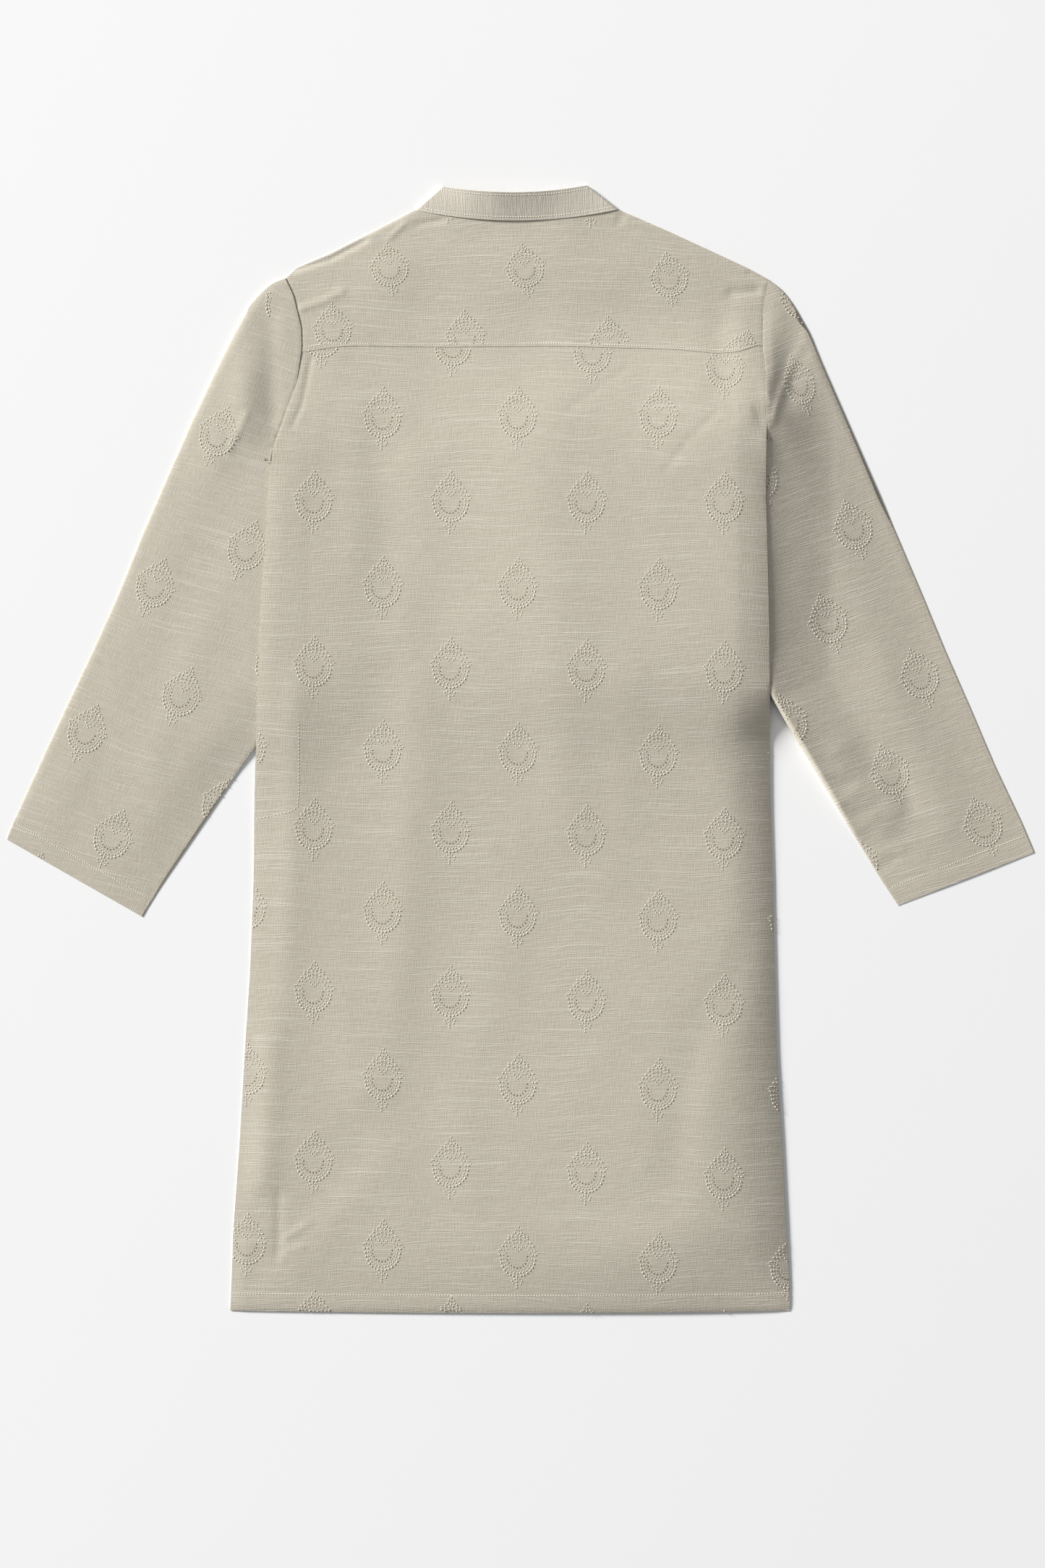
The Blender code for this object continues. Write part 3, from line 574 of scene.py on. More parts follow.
# %% [markdown]
# The cloth's own rise. Between its edges each piece is filled a little, carries its folds,
# and has the soft unevenness of washed cotton. The same functions later tell the
# embroidery and the stitches how high to lie, so nothing sinks in or floats.

# %% The cloth's own rise
BODY_FILL = 0.7
BODY_FILL_WIDTH = 38.0
DEEPEST_BODY = -0.6
SIDE_REACH = 55.0
HELD_LEFT = 0.35
HELD_RIGHT = 0.15
RIGHT_SEAM_REACH = 30.0
SLEEVE_FILL = 0.5
SLEEVE_FILL_WIDTH = 40.0
DEEPEST_SLEEVE = -2.0
CUFF_ROLL = 3.5
ARMHOLE_FULL = (90.0, 130.0)
THIN_FROM_LEFT = 80.0
THIN_FROM_RIGHT = -40.0
THIN_SHARE = 0.75
THIN_WIDTH = 48.0
LOWEST_TOP = 0.5
DROP = 0.6
DROP_REACH = 16.0


def body_relief(x, y):
    """The back's own rise: low at seams and edges, filled and folded between."""
    inside = np.minimum(x - side_left(y), side_right(y) - x)
    held_left = HELD_LEFT + 0.25 * ease(-40.0, 40.0, y) + 0.55 * ease(-340.0, -410.0, y)
    left = held_left + (1.0 - held_left) * dome(from_path(x, y, SIDE_PATH_LEFT), SIDE_REACH)
    right = HELD_RIGHT + (1.0 - HELD_RIGHT) * dome(from_path(x, y, SIDE_PATH_RIGHT), RIGHT_SEAM_REACH)
    edge = outline_roll(x, y) * hem_share(x, y) * left * right
    fill = np.maximum(BODY_FILL + folded(x, y, BODY_FOLDS), DEEPEST_BODY)
    soft = 0.16 * uneven(x, y, 38.0, 4) + 0.04 * uneven(x, y, 12.0, 5)
    return edge * (SEAM_RISE + ease(0.0, BODY_FILL_WIDTH, inside) * (fill + soft))


def sleeve_relief(x, y, inner, folds):
    """A sleeve's own rise above its under layer."""
    outside = beside_body(x, y)
    seam = from_path(x, y, inner[::12])
    low = np.where(x < 0.0, THIN_FROM_LEFT, THIN_FROM_RIGHT)
    thin = ease(low, low - 60.0, y) * THIN_SHARE * (1.0 - ease(0.0, THIN_WIDTH, seam))
    edge = outline_roll(x, y) * np.maximum(roll(seam, CUFF_ROLL), ease(*ARMHOLE_FULL, y)) * (1.0 - thin)
    fill = SLEEVE_FILL * ease(0.0, SLEEVE_FILL_WIDTH, outside) + folded(x, y, folds) * ease(-2.0, 10.0, outside)
    soft = (0.16 * uneven(x, y, 32.0, 8) + 0.05 * uneven(x, y, 12.0, 9)) * ease(0.0, 20.0, outside)
    bunched = np.where(x < 0.0, bunch_left(x, y), bunch_right(x, y))
    return edge * (SEAM_RISE + np.maximum(fill, DEEPEST_SLEEVE) + soft + bunched)


def side_drop(x, y):
    """The back comes down to the front where the two are sewn together at the sides."""
    left = DROP * (1.0 - dome(from_path(x, y, SIDE_PATH_LEFT), DROP_REACH))
    right = DROP * (1.0 - dome(from_path(x, y, SIDE_PATH_RIGHT), DROP_REACH))
    return (left + right) * ease(UNDERARM_LEFT, UNDERARM_LEFT - 30.0, y)


def armhole_dent(x, y):
    """The groove of the armhole seam and the small puckers that run into it."""
    beside = np.minimum(np.abs(x - side_left(y)), np.abs(x - side_right(y)))
    above = ease(UNDERARM_LEFT - 6.0, UNDERARM_LEFT + 10.0, y)
    pucker = 0.06 * np.sin(y * 0.62 + 1.3 * np.sin(y * 0.09)) * np.exp(-beside / 6.0)
    return above * (-0.25 * stitch_groove(beside, 1.5) + pucker)


middle = body_relief(np.array([0.0]), np.array([0.0]))
print("back in its middle", round(float(middle[0]), 2), "mm above the lower layer")

# %% [markdown]
# The upper face of each layer: what lies below, the cloth's own rise, its fine creases,
# and the small steps of sewing. A turned hem is a little thicker, and its row of stitches
# pulls it in. The yoke laps over the back panel, and a cord of cloth stands beside its
# stitches.

# %% Upper faces
TURN_RISE = 0.15
TURN_PULL = 0.22
HEM_DROP = 0.65


def front_rise(x, y):
    """How high the front lies above the floor."""
    return left_lift(x, y) + right_lift(x, y) + placket_lift(x, y)


def back_rise(x, y):
    """How high the back lies above the floor."""
    lifted = left_lift(x, y) + right_lift(x, y) + right_swell(x, y) + ridge_lift(x, y)
    return OVER_FRONT - side_drop(x, y) + lifted + body_relief(x, y)


def turned_edge(above, depth):
    """A turned and sewn edge, as thick as two layers up to its row of stitches."""
    return TURN_RISE * ease(depth + 1.5, depth - 0.5, above) - TURN_PULL * stitch_groove(above - depth, 1.4)


def back_top(x, y):
    """The back panel's upper face."""
    above = y - hem_level(x)
    hem = turned_edge(above, HEM_TURN) - HEM_DROP * (1.0 - roll(above, 5.0))
    return back_rise(x, y) + WALL + folded(x, y, BACK_CREASES) + hem + armhole_dent(x, y)


def yoke_top(x, y):
    """The yoke's upper face."""
    above = y - yoke_seam(x)
    lapped = YOKE_STEP * ease(YOKE_LAP + 2.0 + YOKE_EASE, YOKE_LAP + 2.0, above)
    cord = 0.10 * stitch_groove(above - 1.0, 1.3) - 0.10 * stitch_groove(above - 2.8, 1.1)
    top = back_rise(x, y) + WALL + lapped + cord + folded(x, y, YOKE_CREASES) + armhole_dent(x, y)
    return np.maximum(top, LOWEST_TOP)


over_placket = yoke_top(np.array([PLACKET_X]), np.array([390.0]))
print("highest place over the placket", round(float(over_placket[0]), 1), "mm")

# %% [markdown]
# Materials. The cloth is plain-woven slub cotton: the weft has thick places that show as
# short pale streaks along it, and the warp shows as fainter ones across. The pattern
# reads a UV map laid in metres along each piece's own grain, so the streaks turn with a
# sleeve and stand upright on the collar. Real threads are 0.3 mm, finer than the render
# shows, so the streaks are drawn 0.8 to 1.2 mm thick. Colours are hex values as a
# designer would pick them, and one function turns them to linear.

# %% Colours and the node helper


def linear(code):
    """Linear colour from an sRGB hex code."""
    parts = [int(code[i : i + 2], 16) / 255.0 for i in (1, 3, 5)]
    return [p / 12.92 if p <= 0.04045 else ((p + 0.055) / 1.055) ** 2.4 for p in parts] + [1.0]


def add_node(tree, kind, settings=None, links=None):
    """Adds one node. settings are attributes or socket values, links are sources by socket."""
    node = tree.nodes.new(kind)
    for key, value in (settings or {}).items():
        if isinstance(key, str) and hasattr(node, key):
            setattr(node, key, value)
        else:
            node.inputs[key].default_value = value
    for key, source in (links or {}).items():
        tree.links.new(source, node.inputs[key])
    return node


def new_surface(name, settings):
    """A material whose Principled shader has these values; gives its tree and shader."""
    made = bpy.data.materials.new(name)
    made.use_nodes = True
    shader = made.node_tree.nodes["Principled BSDF"]
    for key, value in settings.items():
        shader.inputs[key].default_value = value
    return made, made.node_tree, shader


def slub_cotton(name, body, pale, shade):
    """Matt slub cotton in one colour, with its weave along the piece's own grain."""
    made, tree, shader = new_surface(name, {
        "Roughness": 0.92,
        "Specular IOR Level": 0.25,
        "Sheen Weight": 0.12,
        "Sheen Roughness": 0.6,
    })

    def threads(source, along, across, detail, low, high):
        """A noise stretched along one direction of the weave, cut to its brighter part."""
        at = add_node(tree, "ShaderNodeMapping", {"Scale": (along, across, 1.0)}, {"Vector": source})
        noise = add_node(tree, "ShaderNodeTexNoise", {"Scale": 1.0, "Detail": detail}, {"Vector": at.outputs[0]})
        cut = add_node(tree, "ShaderNodeMapRange", {"From Min": low, "From Max": high}, {"Value": noise.outputs["Fac"]})
        return cut.outputs[0]

    grain = add_node(tree, "ShaderNodeUVMap", {"uv_map": "grain"}).outputs["UV"]
    # the weft isn't quite straight: it sways by a millimetre or two
    drift = add_node(tree, "ShaderNodeTexNoise", {"Scale": 8.0, "Detail": 1.0}, {"Vector": grain})
    swayed = add_node(
        tree, "ShaderNodeVectorMath", {"operation": "MULTIPLY_ADD", 1: (0.0, 0.02, 0.0)},
        {0: drift.outputs["Color"], 2: grain},
    ).outputs[0]
    slubs = threads(swayed, 11.0, 1150.0, 2.0, 0.52, 0.80)
    weft = threads(swayed, 80.0, 1250.0, 1.5, 0.32, 0.70)
    warp = threads(grain, 1150.0, 90.0, 1.5, 0.32, 0.70)
    ground = add_node(tree, "ShaderNodeMath", {"operation": "MULTIPLY_ADD", 1: 0.55}, {0: warp, 2: weft}).outputs[0]
    tone = add_node(tree, "ShaderNodeMapRange", {"From Min": 0.0, "From Max": 1.55}, {"Value": ground}).outputs[0]
    plain = add_node(
        tree, "ShaderNodeMix", {"data_type": "RGBA", 6: linear(shade), 7: linear(body)}, {0: tone}
    ).outputs[2]
    colour = add_node(
        tree, "ShaderNodeMix", {"data_type": "RGBA", 7: linear(pale)}, {0: slubs, 6: plain}
    ).outputs[2]
    height = add_node(tree, "ShaderNodeMath", {"operation": "MULTIPLY_ADD", 1: 1.5}, {0: slubs, 2: ground}).outputs[0]
    relief = add_node(tree, "ShaderNodeBump", {"Strength": 0.4, "Distance": 0.0003}, {"Height": height})
    tree.links.new(colour, shader.inputs["Base Color"])
    tree.links.new(relief.outputs[0], shader.inputs["Normal"])
    return made


CLOTH = slub_cotton("slub_cotton_woven", "#c6bfaf", "#dad4c8", "#b7af9f")
CLOTH_BAND = slub_cotton("slub_cotton_two_plies", "#d0c9bb", "#dad3c7", "#c8c1b2")
print("cloth materials:", CLOTH.name, CLOTH_BAND.name)

# %% Thread, painted eyelet shade and buttons


def cotton_thread(name, body, pale):
    """Twisted embroidery cotton: a little smoother than the cloth, with a soft shine."""
    made, tree, shader = new_surface(name, {"Roughness": 0.7, "Specular IOR Level": 0.35, "Sheen Weight": 0.1})
    place = add_node(tree, "ShaderNodeTexCoord").outputs["Object"]
    twist = add_node(tree, "ShaderNodeTexNoise", {"Scale": 900.0, "Detail": 2.0}, {"Vector": place})
    colour = add_node(
        tree, "ShaderNodeMix", {"data_type": "RGBA", 6: linear(body), 7: linear(pale)}, {0: twist.outputs["Fac"]}
    )
    relief = add_node(tree, "ShaderNodeBump", {"Strength": 0.4, "Distance": 0.0002}, {"Height": twist.outputs["Fac"]})
    tree.links.new(colour.outputs[2], shader.inputs["Base Color"])
    tree.links.new(relief.outputs[0], shader.inputs["Normal"])
    return made


THREAD = cotton_thread("embroidery_cotton", "#cbc4b5", "#d6cfc2")
SEWING = cotton_thread("sewing_cotton", "#d8d2c3", "#e6e1d4")
# The eyelets are drawn as low dark rounds: their colour is painted shade, the shaded layer below seen through each
# hole.
EYELET_SHADE, eyelet_shade_nodes, eyelet_shade_bsdf = new_surface("eyelet_shadow", {"Roughness": 1.0, "Specular IOR Level": 0.1})
eyelet_place = add_node(eyelet_shade_nodes, "ShaderNodeTexCoord").outputs["Object"]
eyelet_shade_noise = add_node(eyelet_shade_nodes, "ShaderNodeTexNoise", {"Scale": 700.0}, {"Vector": eyelet_place})
eyelet_shade_colour = add_node(
    eyelet_shade_nodes, "ShaderNodeMix", {"data_type": "RGBA", 6: linear("#544c3d"), 7: linear("#736a58")},
    {0: eyelet_shade_noise.outputs["Fac"]},
)
eyelet_shade_nodes.links.new(eyelet_shade_colour.outputs[2], eyelet_shade_bsdf.inputs["Base Color"])

SHELL, shell_tree, shell_shader = new_surface("sea_shell_button", {"Roughness": 0.28, "IOR": 1.53, "Coat Weight": 0.2})
shell_place = add_node(shell_tree, "ShaderNodeTexCoord").outputs["Object"]
shell_map = add_node(shell_tree, "ShaderNodeMapping", {"Scale": (300.0, 900.0, 300.0)}, {"Vector": shell_place})
shell_bands = add_node(shell_tree, "ShaderNodeTexNoise", {"Scale": 1.0, "Detail": 3.0}, {"Vector": shell_map.outputs[0]})
shell_colour = add_node(
    shell_tree, "ShaderNodeMix", {"data_type": "RGBA", 6: linear("#cfc4ac"), 7: linear("#efe7d8")},
    {0: shell_bands.outputs["Fac"]},
)
shell_tree.links.new(shell_colour.outputs[2], shell_shader.inputs["Base Color"])
print("small materials:", THREAD.name, SEWING.name, EYELET_SHADE.name, SHELL.name)

# %% [markdown]
# Cloth pieces. Each one starts as a flat grid, as a length of cloth does. Its columns and
# rows are numbered, every corner is moved to its place on the tunic, and a Solidify
# modifier gives the cloth its thickness. A sleeve is the same grid closed into a tube.
# The map named grain holds the place along the weave, turned for each piece.

# %% A grid of cloth
CLOTH_THICK = 0.45
SHARP_FOLD = math.radians(50.0)


def cloth_piece(
    name, columns, rows, place, material, node,
    grain_turn=0.0, closed=False, left_out=None, thick=CLOTH_THICK,
):
    """Lays a grid by place(column, row), in millimetres, and gives it grain, thickness and a name."""
    bm = bmesh.new()
    bmesh.ops.create_grid(bm, x_segments=columns, y_segments=rows, size=0.5)
    where = np.array([(vert.co.x, vert.co.y) for vert in bm.verts])
    column = np.round((where[:, 0] + 0.5) * columns).astype(int)
    row = np.round((where[:, 1] + 0.5) * rows).astype(int)
    if left_out is not None:
        corners = [[vert.index for vert in face.verts] for face in bm.faces]
        gone = [face for face, at in zip(bm.faces, corners) if left_out(min(column[at]), min(row[at]))]
    x, y, z = place(column, row)
    for vert, px, py, pz in zip(bm.verts, x, y, z):
        vert.co = (px * MM, py * MM, pz * MM)
    if left_out is not None:
        bmesh.ops.delete(bm, geom=gone, context="FACES")
    if closed:
        bmesh.ops.remove_doubles(bm, verts=bm.verts, dist=1.0e-7)
        bmesh.ops.recalc_face_normals(bm, faces=bm.faces)
    for edge in bm.edges:
        edge.smooth = not edge.is_boundary and edge.calc_face_angle(0.0) < SHARP_FOLD
    grain = bm.loops.layers.uv.new("grain")
    cos_turn = math.cos(grain_turn)
    sin_turn = math.sin(grain_turn)
    for face in bm.faces:
        face.smooth = True
        for loop in face.loops:
            px, py, _ = loop.vert.co
            loop[grain].uv = (px * cos_turn + py * sin_turn, py * cos_turn - px * sin_turn)
    mesh = bpy.data.meshes.new(name)
    bm.to_mesh(mesh)
    bm.free()
    mesh.materials.append(material)
    made = bpy.data.objects.new(name, mesh)
    bpy.context.scene.collection.objects.link(made)
    wall = made.modifiers.new("cloth thickness", "SOLIDIFY")
    wall.thickness = thick * MM
    wall.offset = -1.0
    wall.use_even_offset = False
    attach(made, "root")
    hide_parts(node)
    print(name, "faces", len(mesh.polygons), "height", round(float(np.min(z)), 2), "to", round(float(np.max(z)), 2), "mm")
    return made


# %% Back panel
BACK_COLUMNS = 150
BACK_ROWS = 268
BODY_WIDTH = 503.0


def close_to_edges(share, pull):
    """Columns drawn closer together toward both edges."""
    return share - pull * np.sin(2.0 * np.pi * share) / (2.0 * np.pi)


def shoulder_x(u):
    return SHOULDER_LEFT[0] + (SHOULDER_RIGHT[0] - SHOULDER_LEFT[0]) * u


def place_back(column, row):
    u = close_to_edges(column / BACK_COLUMNS, 0.45)
    hem = hem_level(-261.0 + BODY_WIDTH * u)
    top = yoke_seam(shoulder_x(u)) + YOKE_LAP
    y = hem + (top - hem) * close_to_edges(row / BACK_ROWS, 0.12)
    x = side_left(y) + (side_right(y) - side_left(y)) * u
    return x, y, back_top(x, y)


back = cloth_piece("back_panel_cloth", BACK_COLUMNS, BACK_ROWS, place_back, CLOTH, "back_panel")

# %% Back yoke
YOKE_COLUMNS = 150
YOKE_ROWS = 44


def neck_curve(x):
    share = np.clip((x - NECK_LEFT[0]) / (NECK_RIGHT[0] - NECK_LEFT[0]), 0.0, 1.0)
    return (COLLAR_LAP - COLLAR_BASE_SAG) * 4.0 * share * (1.0 - share)


def place_yoke(column, row):
    u = close_to_edges(column / YOKE_COLUMNS, 0.3)
    foot = yoke_seam(shoulder_x(u))
    top = np.interp(shoulder_x(u), SHOULDER_X, SHOULDER_Y) + neck_curve(shoulder_x(u))
    share = row / YOKE_ROWS
    y = foot + (top - foot) * close_to_edges(share, 0.5)
    x = side_left(y) + (side_right(y) - side_left(y)) * u
    return x, y, yoke_top(x, y)


yoke = cloth_piece("back_yoke_cloth", YOKE_COLUMNS, YOKE_ROWS, place_yoke, CLOTH, "back_yoke")

# %% Front panel
FRONT_LIFT = 0.35
FRONT_ROWS = 150


def share_across(x):
    return (x - SHOULDER_LEFT[0]) / (SHOULDER_RIGHT[0] - SHOULDER_LEFT[0])


SLASH_LEFT = share_across(PLACKET_X - SLASH_HALF)
SLASH_RIGHT = share_across(PLACKET_X + SLASH_HALF)
NECK_U = (share_across(NECK_LEFT[0] - NECK_CLEAR), share_across(NECK_RIGHT[0] + NECK_CLEAR))
QUARTER = 1.0 - np.cos(np.linspace(0.0, 0.5 * np.pi, 16))
FRONT_COLUMNS = np.concatenate([
    np.linspace(0.0, NECK_U[0], 26)[:-1],
    NECK_U[0] + (SLASH_LEFT - NECK_U[0]) * QUARTER,
    (NECK_U[1] + (SLASH_RIGHT - NECK_U[1]) * QUARTER)[::-1],
    np.linspace(NECK_U[1], 1.0, 30)[1:],
])
SLASH_COLUMN = int(np.argmin(np.abs(FRONT_COLUMNS - SLASH_LEFT)))


def front_neck(x):
    """Depth of the front neckline below the shoulder points, a round scoop."""
    left = np.clip((PLACKET_X - x) / (PLACKET_X - NECK_LEFT[0] + NECK_CLEAR), 0.0, 1.0)
    right = np.clip((x - PLACKET_X) / (NECK_RIGHT[0] - PLACKET_X + NECK_CLEAR), 0.0, 1.0)
    return (NECK_LEFT[1] - FRONT_NECK_BASE) * np.sqrt(1.0 - np.maximum(left, right) ** 2)


def place_front(column, row):
    u = FRONT_COLUMNS[column]
    inside = (u > NECK_U[0] - 1.0e-6) & (u < NECK_U[1] + 1.0e-6)
    top = np.interp(shoulder_x(u), SHOULDER_X, SHOULDER_Y)
    top = top - np.where(inside, front_neck(shoulder_x(u)) + PLY_GAP, 0.0)
    hem = hem_level(-261.0 + BODY_WIDTH * u)
    y = hem + (top - hem) * row / FRONT_ROWS
    x = side_left(y) + (side_right(y) - side_left(y)) * u
    return x, y, front_rise(x, y) + FRONT_LIFT + CLOTH_THICK


def front_slash(column, row):
    return column == SLASH_COLUMN and row >= int(0.70 * FRONT_ROWS)


front = cloth_piece(
    "front_panel_cloth", len(FRONT_COLUMNS) - 1, FRONT_ROWS, place_front, CLOTH, "front_panel", left_out=front_slash
)

# %% [markdown]
# Sleeves. Each is one piece of cloth folded along its outer edge and sewn along its inner
# one, so here it is one closed tube: the over side follows the folds, the under side lies
# flat on the floor. Rows run from the armhole curve and straighten toward the cuff.

# %% Sleeves
OVER = 62
UNDER = 16
SLEEVE_ROWS = 176
FOLD_INSET = 0.35
CUFF_TURN = 16.5


def path_at(share, path):
    at = share * (len(path) - 1)
    index = np.arange(len(path))
    return np.interp(at, index, path[:, 0]), np.interp(at, index, path[:, 1])


def cuff_above(x, y, outer, inner):
    """Distance up the sleeve from the cuff's edge, negative past it."""
    (ax, ay), (bx, by) = outer[-1], inner[-1]
    length = math.hypot(bx - ax, by - ay)
    up = math.copysign(1.0, bx - ax)
    return up * ((bx - ax) * (y - ay) - (by - ay) * (x - ax)) / length


def sleeve_top(x, y, outer, inner, folds, creases):
    above = cuff_above(x, y, outer, inner)
    turn = turned_edge(above, CUFF_TURN)
    relief = sleeve_relief(x, y, inner, folds)
    lying = ease(0.0, 8.0, np.where(x < 0.0, side_left(y) - x, x - side_right(y)))
    seams = (folded(x, y, creases) + turn) * lying
    outside = np.where(x < 0.0, side_left(y) - x, x - side_right(y))
    base = SLEEVE_BASE - SLEEVE_FALL * np.clip(outside / 140.0, 0.0, 1.0)
    laid = 0.6 * ease(20.0, -30.0, y) * (1.0 - ease(0.0, 70.0, from_path(x, y, inner[::12])))
    base = base * (1.0 - laid) * (0.45 + 0.55 * dome(from_path(x, y, OUTLINE_RIGHT), 60.0))
    at_cuff = 0.2 + 0.8 * dome(above, 60.0)
    top = base + relief * at_cuff + seams + armhole_dent(x, y) * ease(0.0, 1.5, relief)
    return np.maximum(top, LOWEST_TOP)


def sleeve_maker(outer, inner, side, sign, folds, creases):
    shares = np.concatenate([
        close_to_edges(np.linspace(0.0, 1.0, OVER + 1), 0.4), [1.0], np.linspace(1.0, 0.0, UNDER + 1), [0.0],
    ])
    level = np.concatenate([np.full(OVER + 1, 2), [1], np.zeros(UNDER + 1), [1]])
    count = len(shares)

    def place(column, row):
        share = shares[column % count]
        kind = level[column % count]
        along = (row / SLEEVE_ROWS) ** 1.12
        ox, oy = path_at(along, outer)
        ix, iy = path_at(along, inner)
        width = np.hypot(ix - ox, iy - oy)
        inset = np.where(kind == 1, 0.0, FOLD_INSET)
        at = (inset + share * (width - 2.0 * inset)) / width
        x = ox + (ix - ox) * at
        y = oy + (iy - oy) * at
        armhole_y = outer[0][1] + (inner[0][1] - outer[0][1]) * at
        chord_x = outer[0][0] + (inner[0][0] - outer[0][0]) * at
        x = x + (1.0 - ease(0.0, 0.30 - 0.24 * at, along)) * (side(armhole_y) - chord_x)
        limit = side(y) + sign * (ARMHOLE_GAP + ARMHOLE_SPREAD * along)
        x = np.where((y >= inner[0][1] - TUCK_START) & (sign * (x - limit) < 0.0), limit, x)
        over = sleeve_top(x, y, outer, inner, folds, creases)
        low = 0.05 + 0.45 * ease(190.0, 230.0, y)
        return x, y, np.select([kind == 2, kind == 1], [over, 0.5 * (over + low)], low)

    return place, count


LEFT_CREASES = (
    (-0.25, 3.0, ((-330.0, -128.0), (-336.0, -142.0))),
    (0.5, 3.0, ((-246.0, 300.0), (-262.0, 268.0))),
)
RIGHT_CREASES = (
    (0.3, 5.0, ((268.0, -24.0), (288.0, -20.0))),
    (-0.2, 4.0, ((274.0, -36.0), (300.0, -30.0))),
    (0.35, 4.5, ((284.0, -50.0), (302.0, -38.0))),
    (-0.25, 5.0, ((290.0, -62.0), (322.0, -50.0))),
    (0.25, 4.5, ((300.0, -76.0), (318.0, -62.0))),
    (0.3, 5.5, ((314.0, -98.0), (342.0, -90.0))),
    (-0.25, 4.0, ((322.0, -110.0), (338.0, -98.0))),
    (0.6, 8.0, ((322.0, -30.0), (338.0, -56.0))),
    (-0.5, 7.0, ((340.0, -18.0), (352.0, -50.0))),
)
LEFT_TURN = math.radians(-19.0)
RIGHT_TURN = math.radians(18.3)
left_place, around = sleeve_maker(OUTER_LEFT, INNER_LEFT, side_left, -1.0, SLEEVE_FOLDS_LEFT, LEFT_CREASES)
sleeve_left = cloth_piece(
    "sleeve_left_cloth", around, SLEEVE_ROWS, left_place, CLOTH, "sleeve_left", LEFT_TURN, closed=True
)
right_place, around = sleeve_maker(OUTER_RIGHT, INNER_RIGHT, side_right, 1.0, SLEEVE_FOLDS_RIGHT, RIGHT_CREASES)
sleeve_right = cloth_piece(
    "sleeve_right_cloth", around, SLEEVE_ROWS, right_place, CLOTH, "sleeve_right", RIGHT_TURN, closed=True
)

# %% [markdown]
# Band collar and front opening. The collar is two plies with the weave turned upright. It
# goes round the neck as one strip: the front half lies on the floor, the strip folds at
# each side of the neck, and the back half lies over the yoke with its lower edge on top.
# The placket strips and buttons are underneath, out of the photograph, and kept plain.

# %% Band collar
COLLAR_ROWS = 14
COLLAR_THICK = 1.2
COLLAR_BASE = 1.85
COLLAR_LEAN = 3.8
COLLAR_SWELL = 3.6


def collar_top(x, y, v):
    """Over side of the back half, with its two rows of stitches pulled in."""
    deep = -0.15 * (np.exp(-(((v - 0.13) / 0.05) ** 2)) + np.exp(-(((v - 0.90) / 0.05) ** 2)))
    ends = roll(x - NECK_LEFT[0], 50.0) * roll(NECK_RIGHT[0] - x, 14.0)
    up = 0.2 + 0.8 * v
    lean = COLLAR_LEAN * up * ease(-60.0, -4.0, x + 16.0 * v) * ease(78.0, 6.0, x)
    swell = COLLAR_SWELL * up * ease(-100.0, -34.0, x) * ease(36.0, -26.0, x)
    return COLLAR_BASE + SEAM_RISE * ends + deep + lean + swell


FRONT_TURNS = np.linspace(1.0, 0.0, 22)
BACK_SHARES = np.linspace(0.0, 1.0, 91)
COLLAR_SHARES = np.concatenate([FRONT_TURNS, [0.0], BACK_SHARES, [0.0], FRONT_TURNS[::-1]])
COLLAR_PARTS = np.concatenate([np.zeros(22), [1], np.full(91, 2), [3], np.full(22, 4)])


def place_collar(column, row):
    share = COLLAR_SHARES[column]
    part = COLLAR_PARTS[column]
    v = row / COLLAR_ROWS
    lx = NECK_LEFT[0] + (COLLAR_TOP_LEFT[0] - NECK_LEFT[0]) * v
    ly = NECK_LEFT[1] + (COLLAR_TOP_LEFT[1] - NECK_LEFT[1]) * v
    rx = NECK_RIGHT[0] + (COLLAR_TOP_RIGHT[0] - NECK_RIGHT[0]) * v
    ry = NECK_RIGHT[1] + (COLLAR_TOP_RIGHT[1] - NECK_RIGHT[1]) * v
    sag = COLLAR_BASE_SAG + (COLLAR_TOP_SAG - COLLAR_BASE_SAG) * v
    back_x = lx + 0.4 + (rx - lx - 0.8) * share
    back_y = ly + (ry - ly) * share - sag * 4.0 * share * (1.0 - share)
    turn = 0.5 * np.pi * share
    centre_y = FRONT_NECK_BASE + (FRONT_NECK_TOP - FRONT_NECK_BASE) * v
    left_x = lx + 0.4 + (PLACKET_X - 0.8 - lx - 0.4) * (1.0 - np.cos(turn))
    right_x = rx - 0.4 + (PLACKET_X + 0.8 - rx + 0.4) * (1.0 - np.cos(turn))
    left_y = centre_y + (ly - centre_y) * (1.0 - np.sin(turn))
    right_y = centre_y + (ry - centre_y) * (1.0 - np.sin(turn))
    x = np.select([part == 0, part == 1, part == 2, part == 3], [left_x, lx, back_x, rx], right_x)
    y = np.select([part == 0, part == 1, part == 2, part == 3], [left_y, ly, back_y, ry], right_y)
    over = collar_top(x, y, v)
    low = 0.05 + 0.0 * x
    return x, y, np.select([part == 2, (part == 1) | (part == 3)], [over, 0.5 * (over + low)], low)


collar = cloth_piece(
    "collar_band_cloth", len(COLLAR_SHARES) - 1, COLLAR_ROWS, place_collar, CLOTH_BAND, "collar_band",
    math.radians(90.0), thick=COLLAR_THICK,
)

# %% Placket strips and buttons


def strip_maker(above):
    def place(column, row):
        x = PLACKET_X - PLACKET_HALF + 2.0 * PLACKET_HALF * column / 10.0
        y = PLACKET_FOOT + (PLACKET_TOP - PLACKET_FOOT) * row / 90.0
        if above:
            z = placket_lift(x, y) + FRONT_LIFT + 2.0 * CLOTH_THICK + 0.05
        else:
            z = placket_lift(x, y) + FRONT_LIFT - 0.05
        return x, y, z

    return place


for name, node, above in (
    ("placket_over_cloth", "placket_over", False), ("placket_under_cloth", "placket_under", True),
):
    strip = cloth_piece(name, 10, 90, strip_maker(above), CLOTH_BAND, node, math.radians(90.0))

for number in range(1, 4):
    button = bpy.data.objects[f"button_{number}"]
    for slot in button.material_slots:
        slot.material = SHELL
print("buttons finished in", SHELL.name)
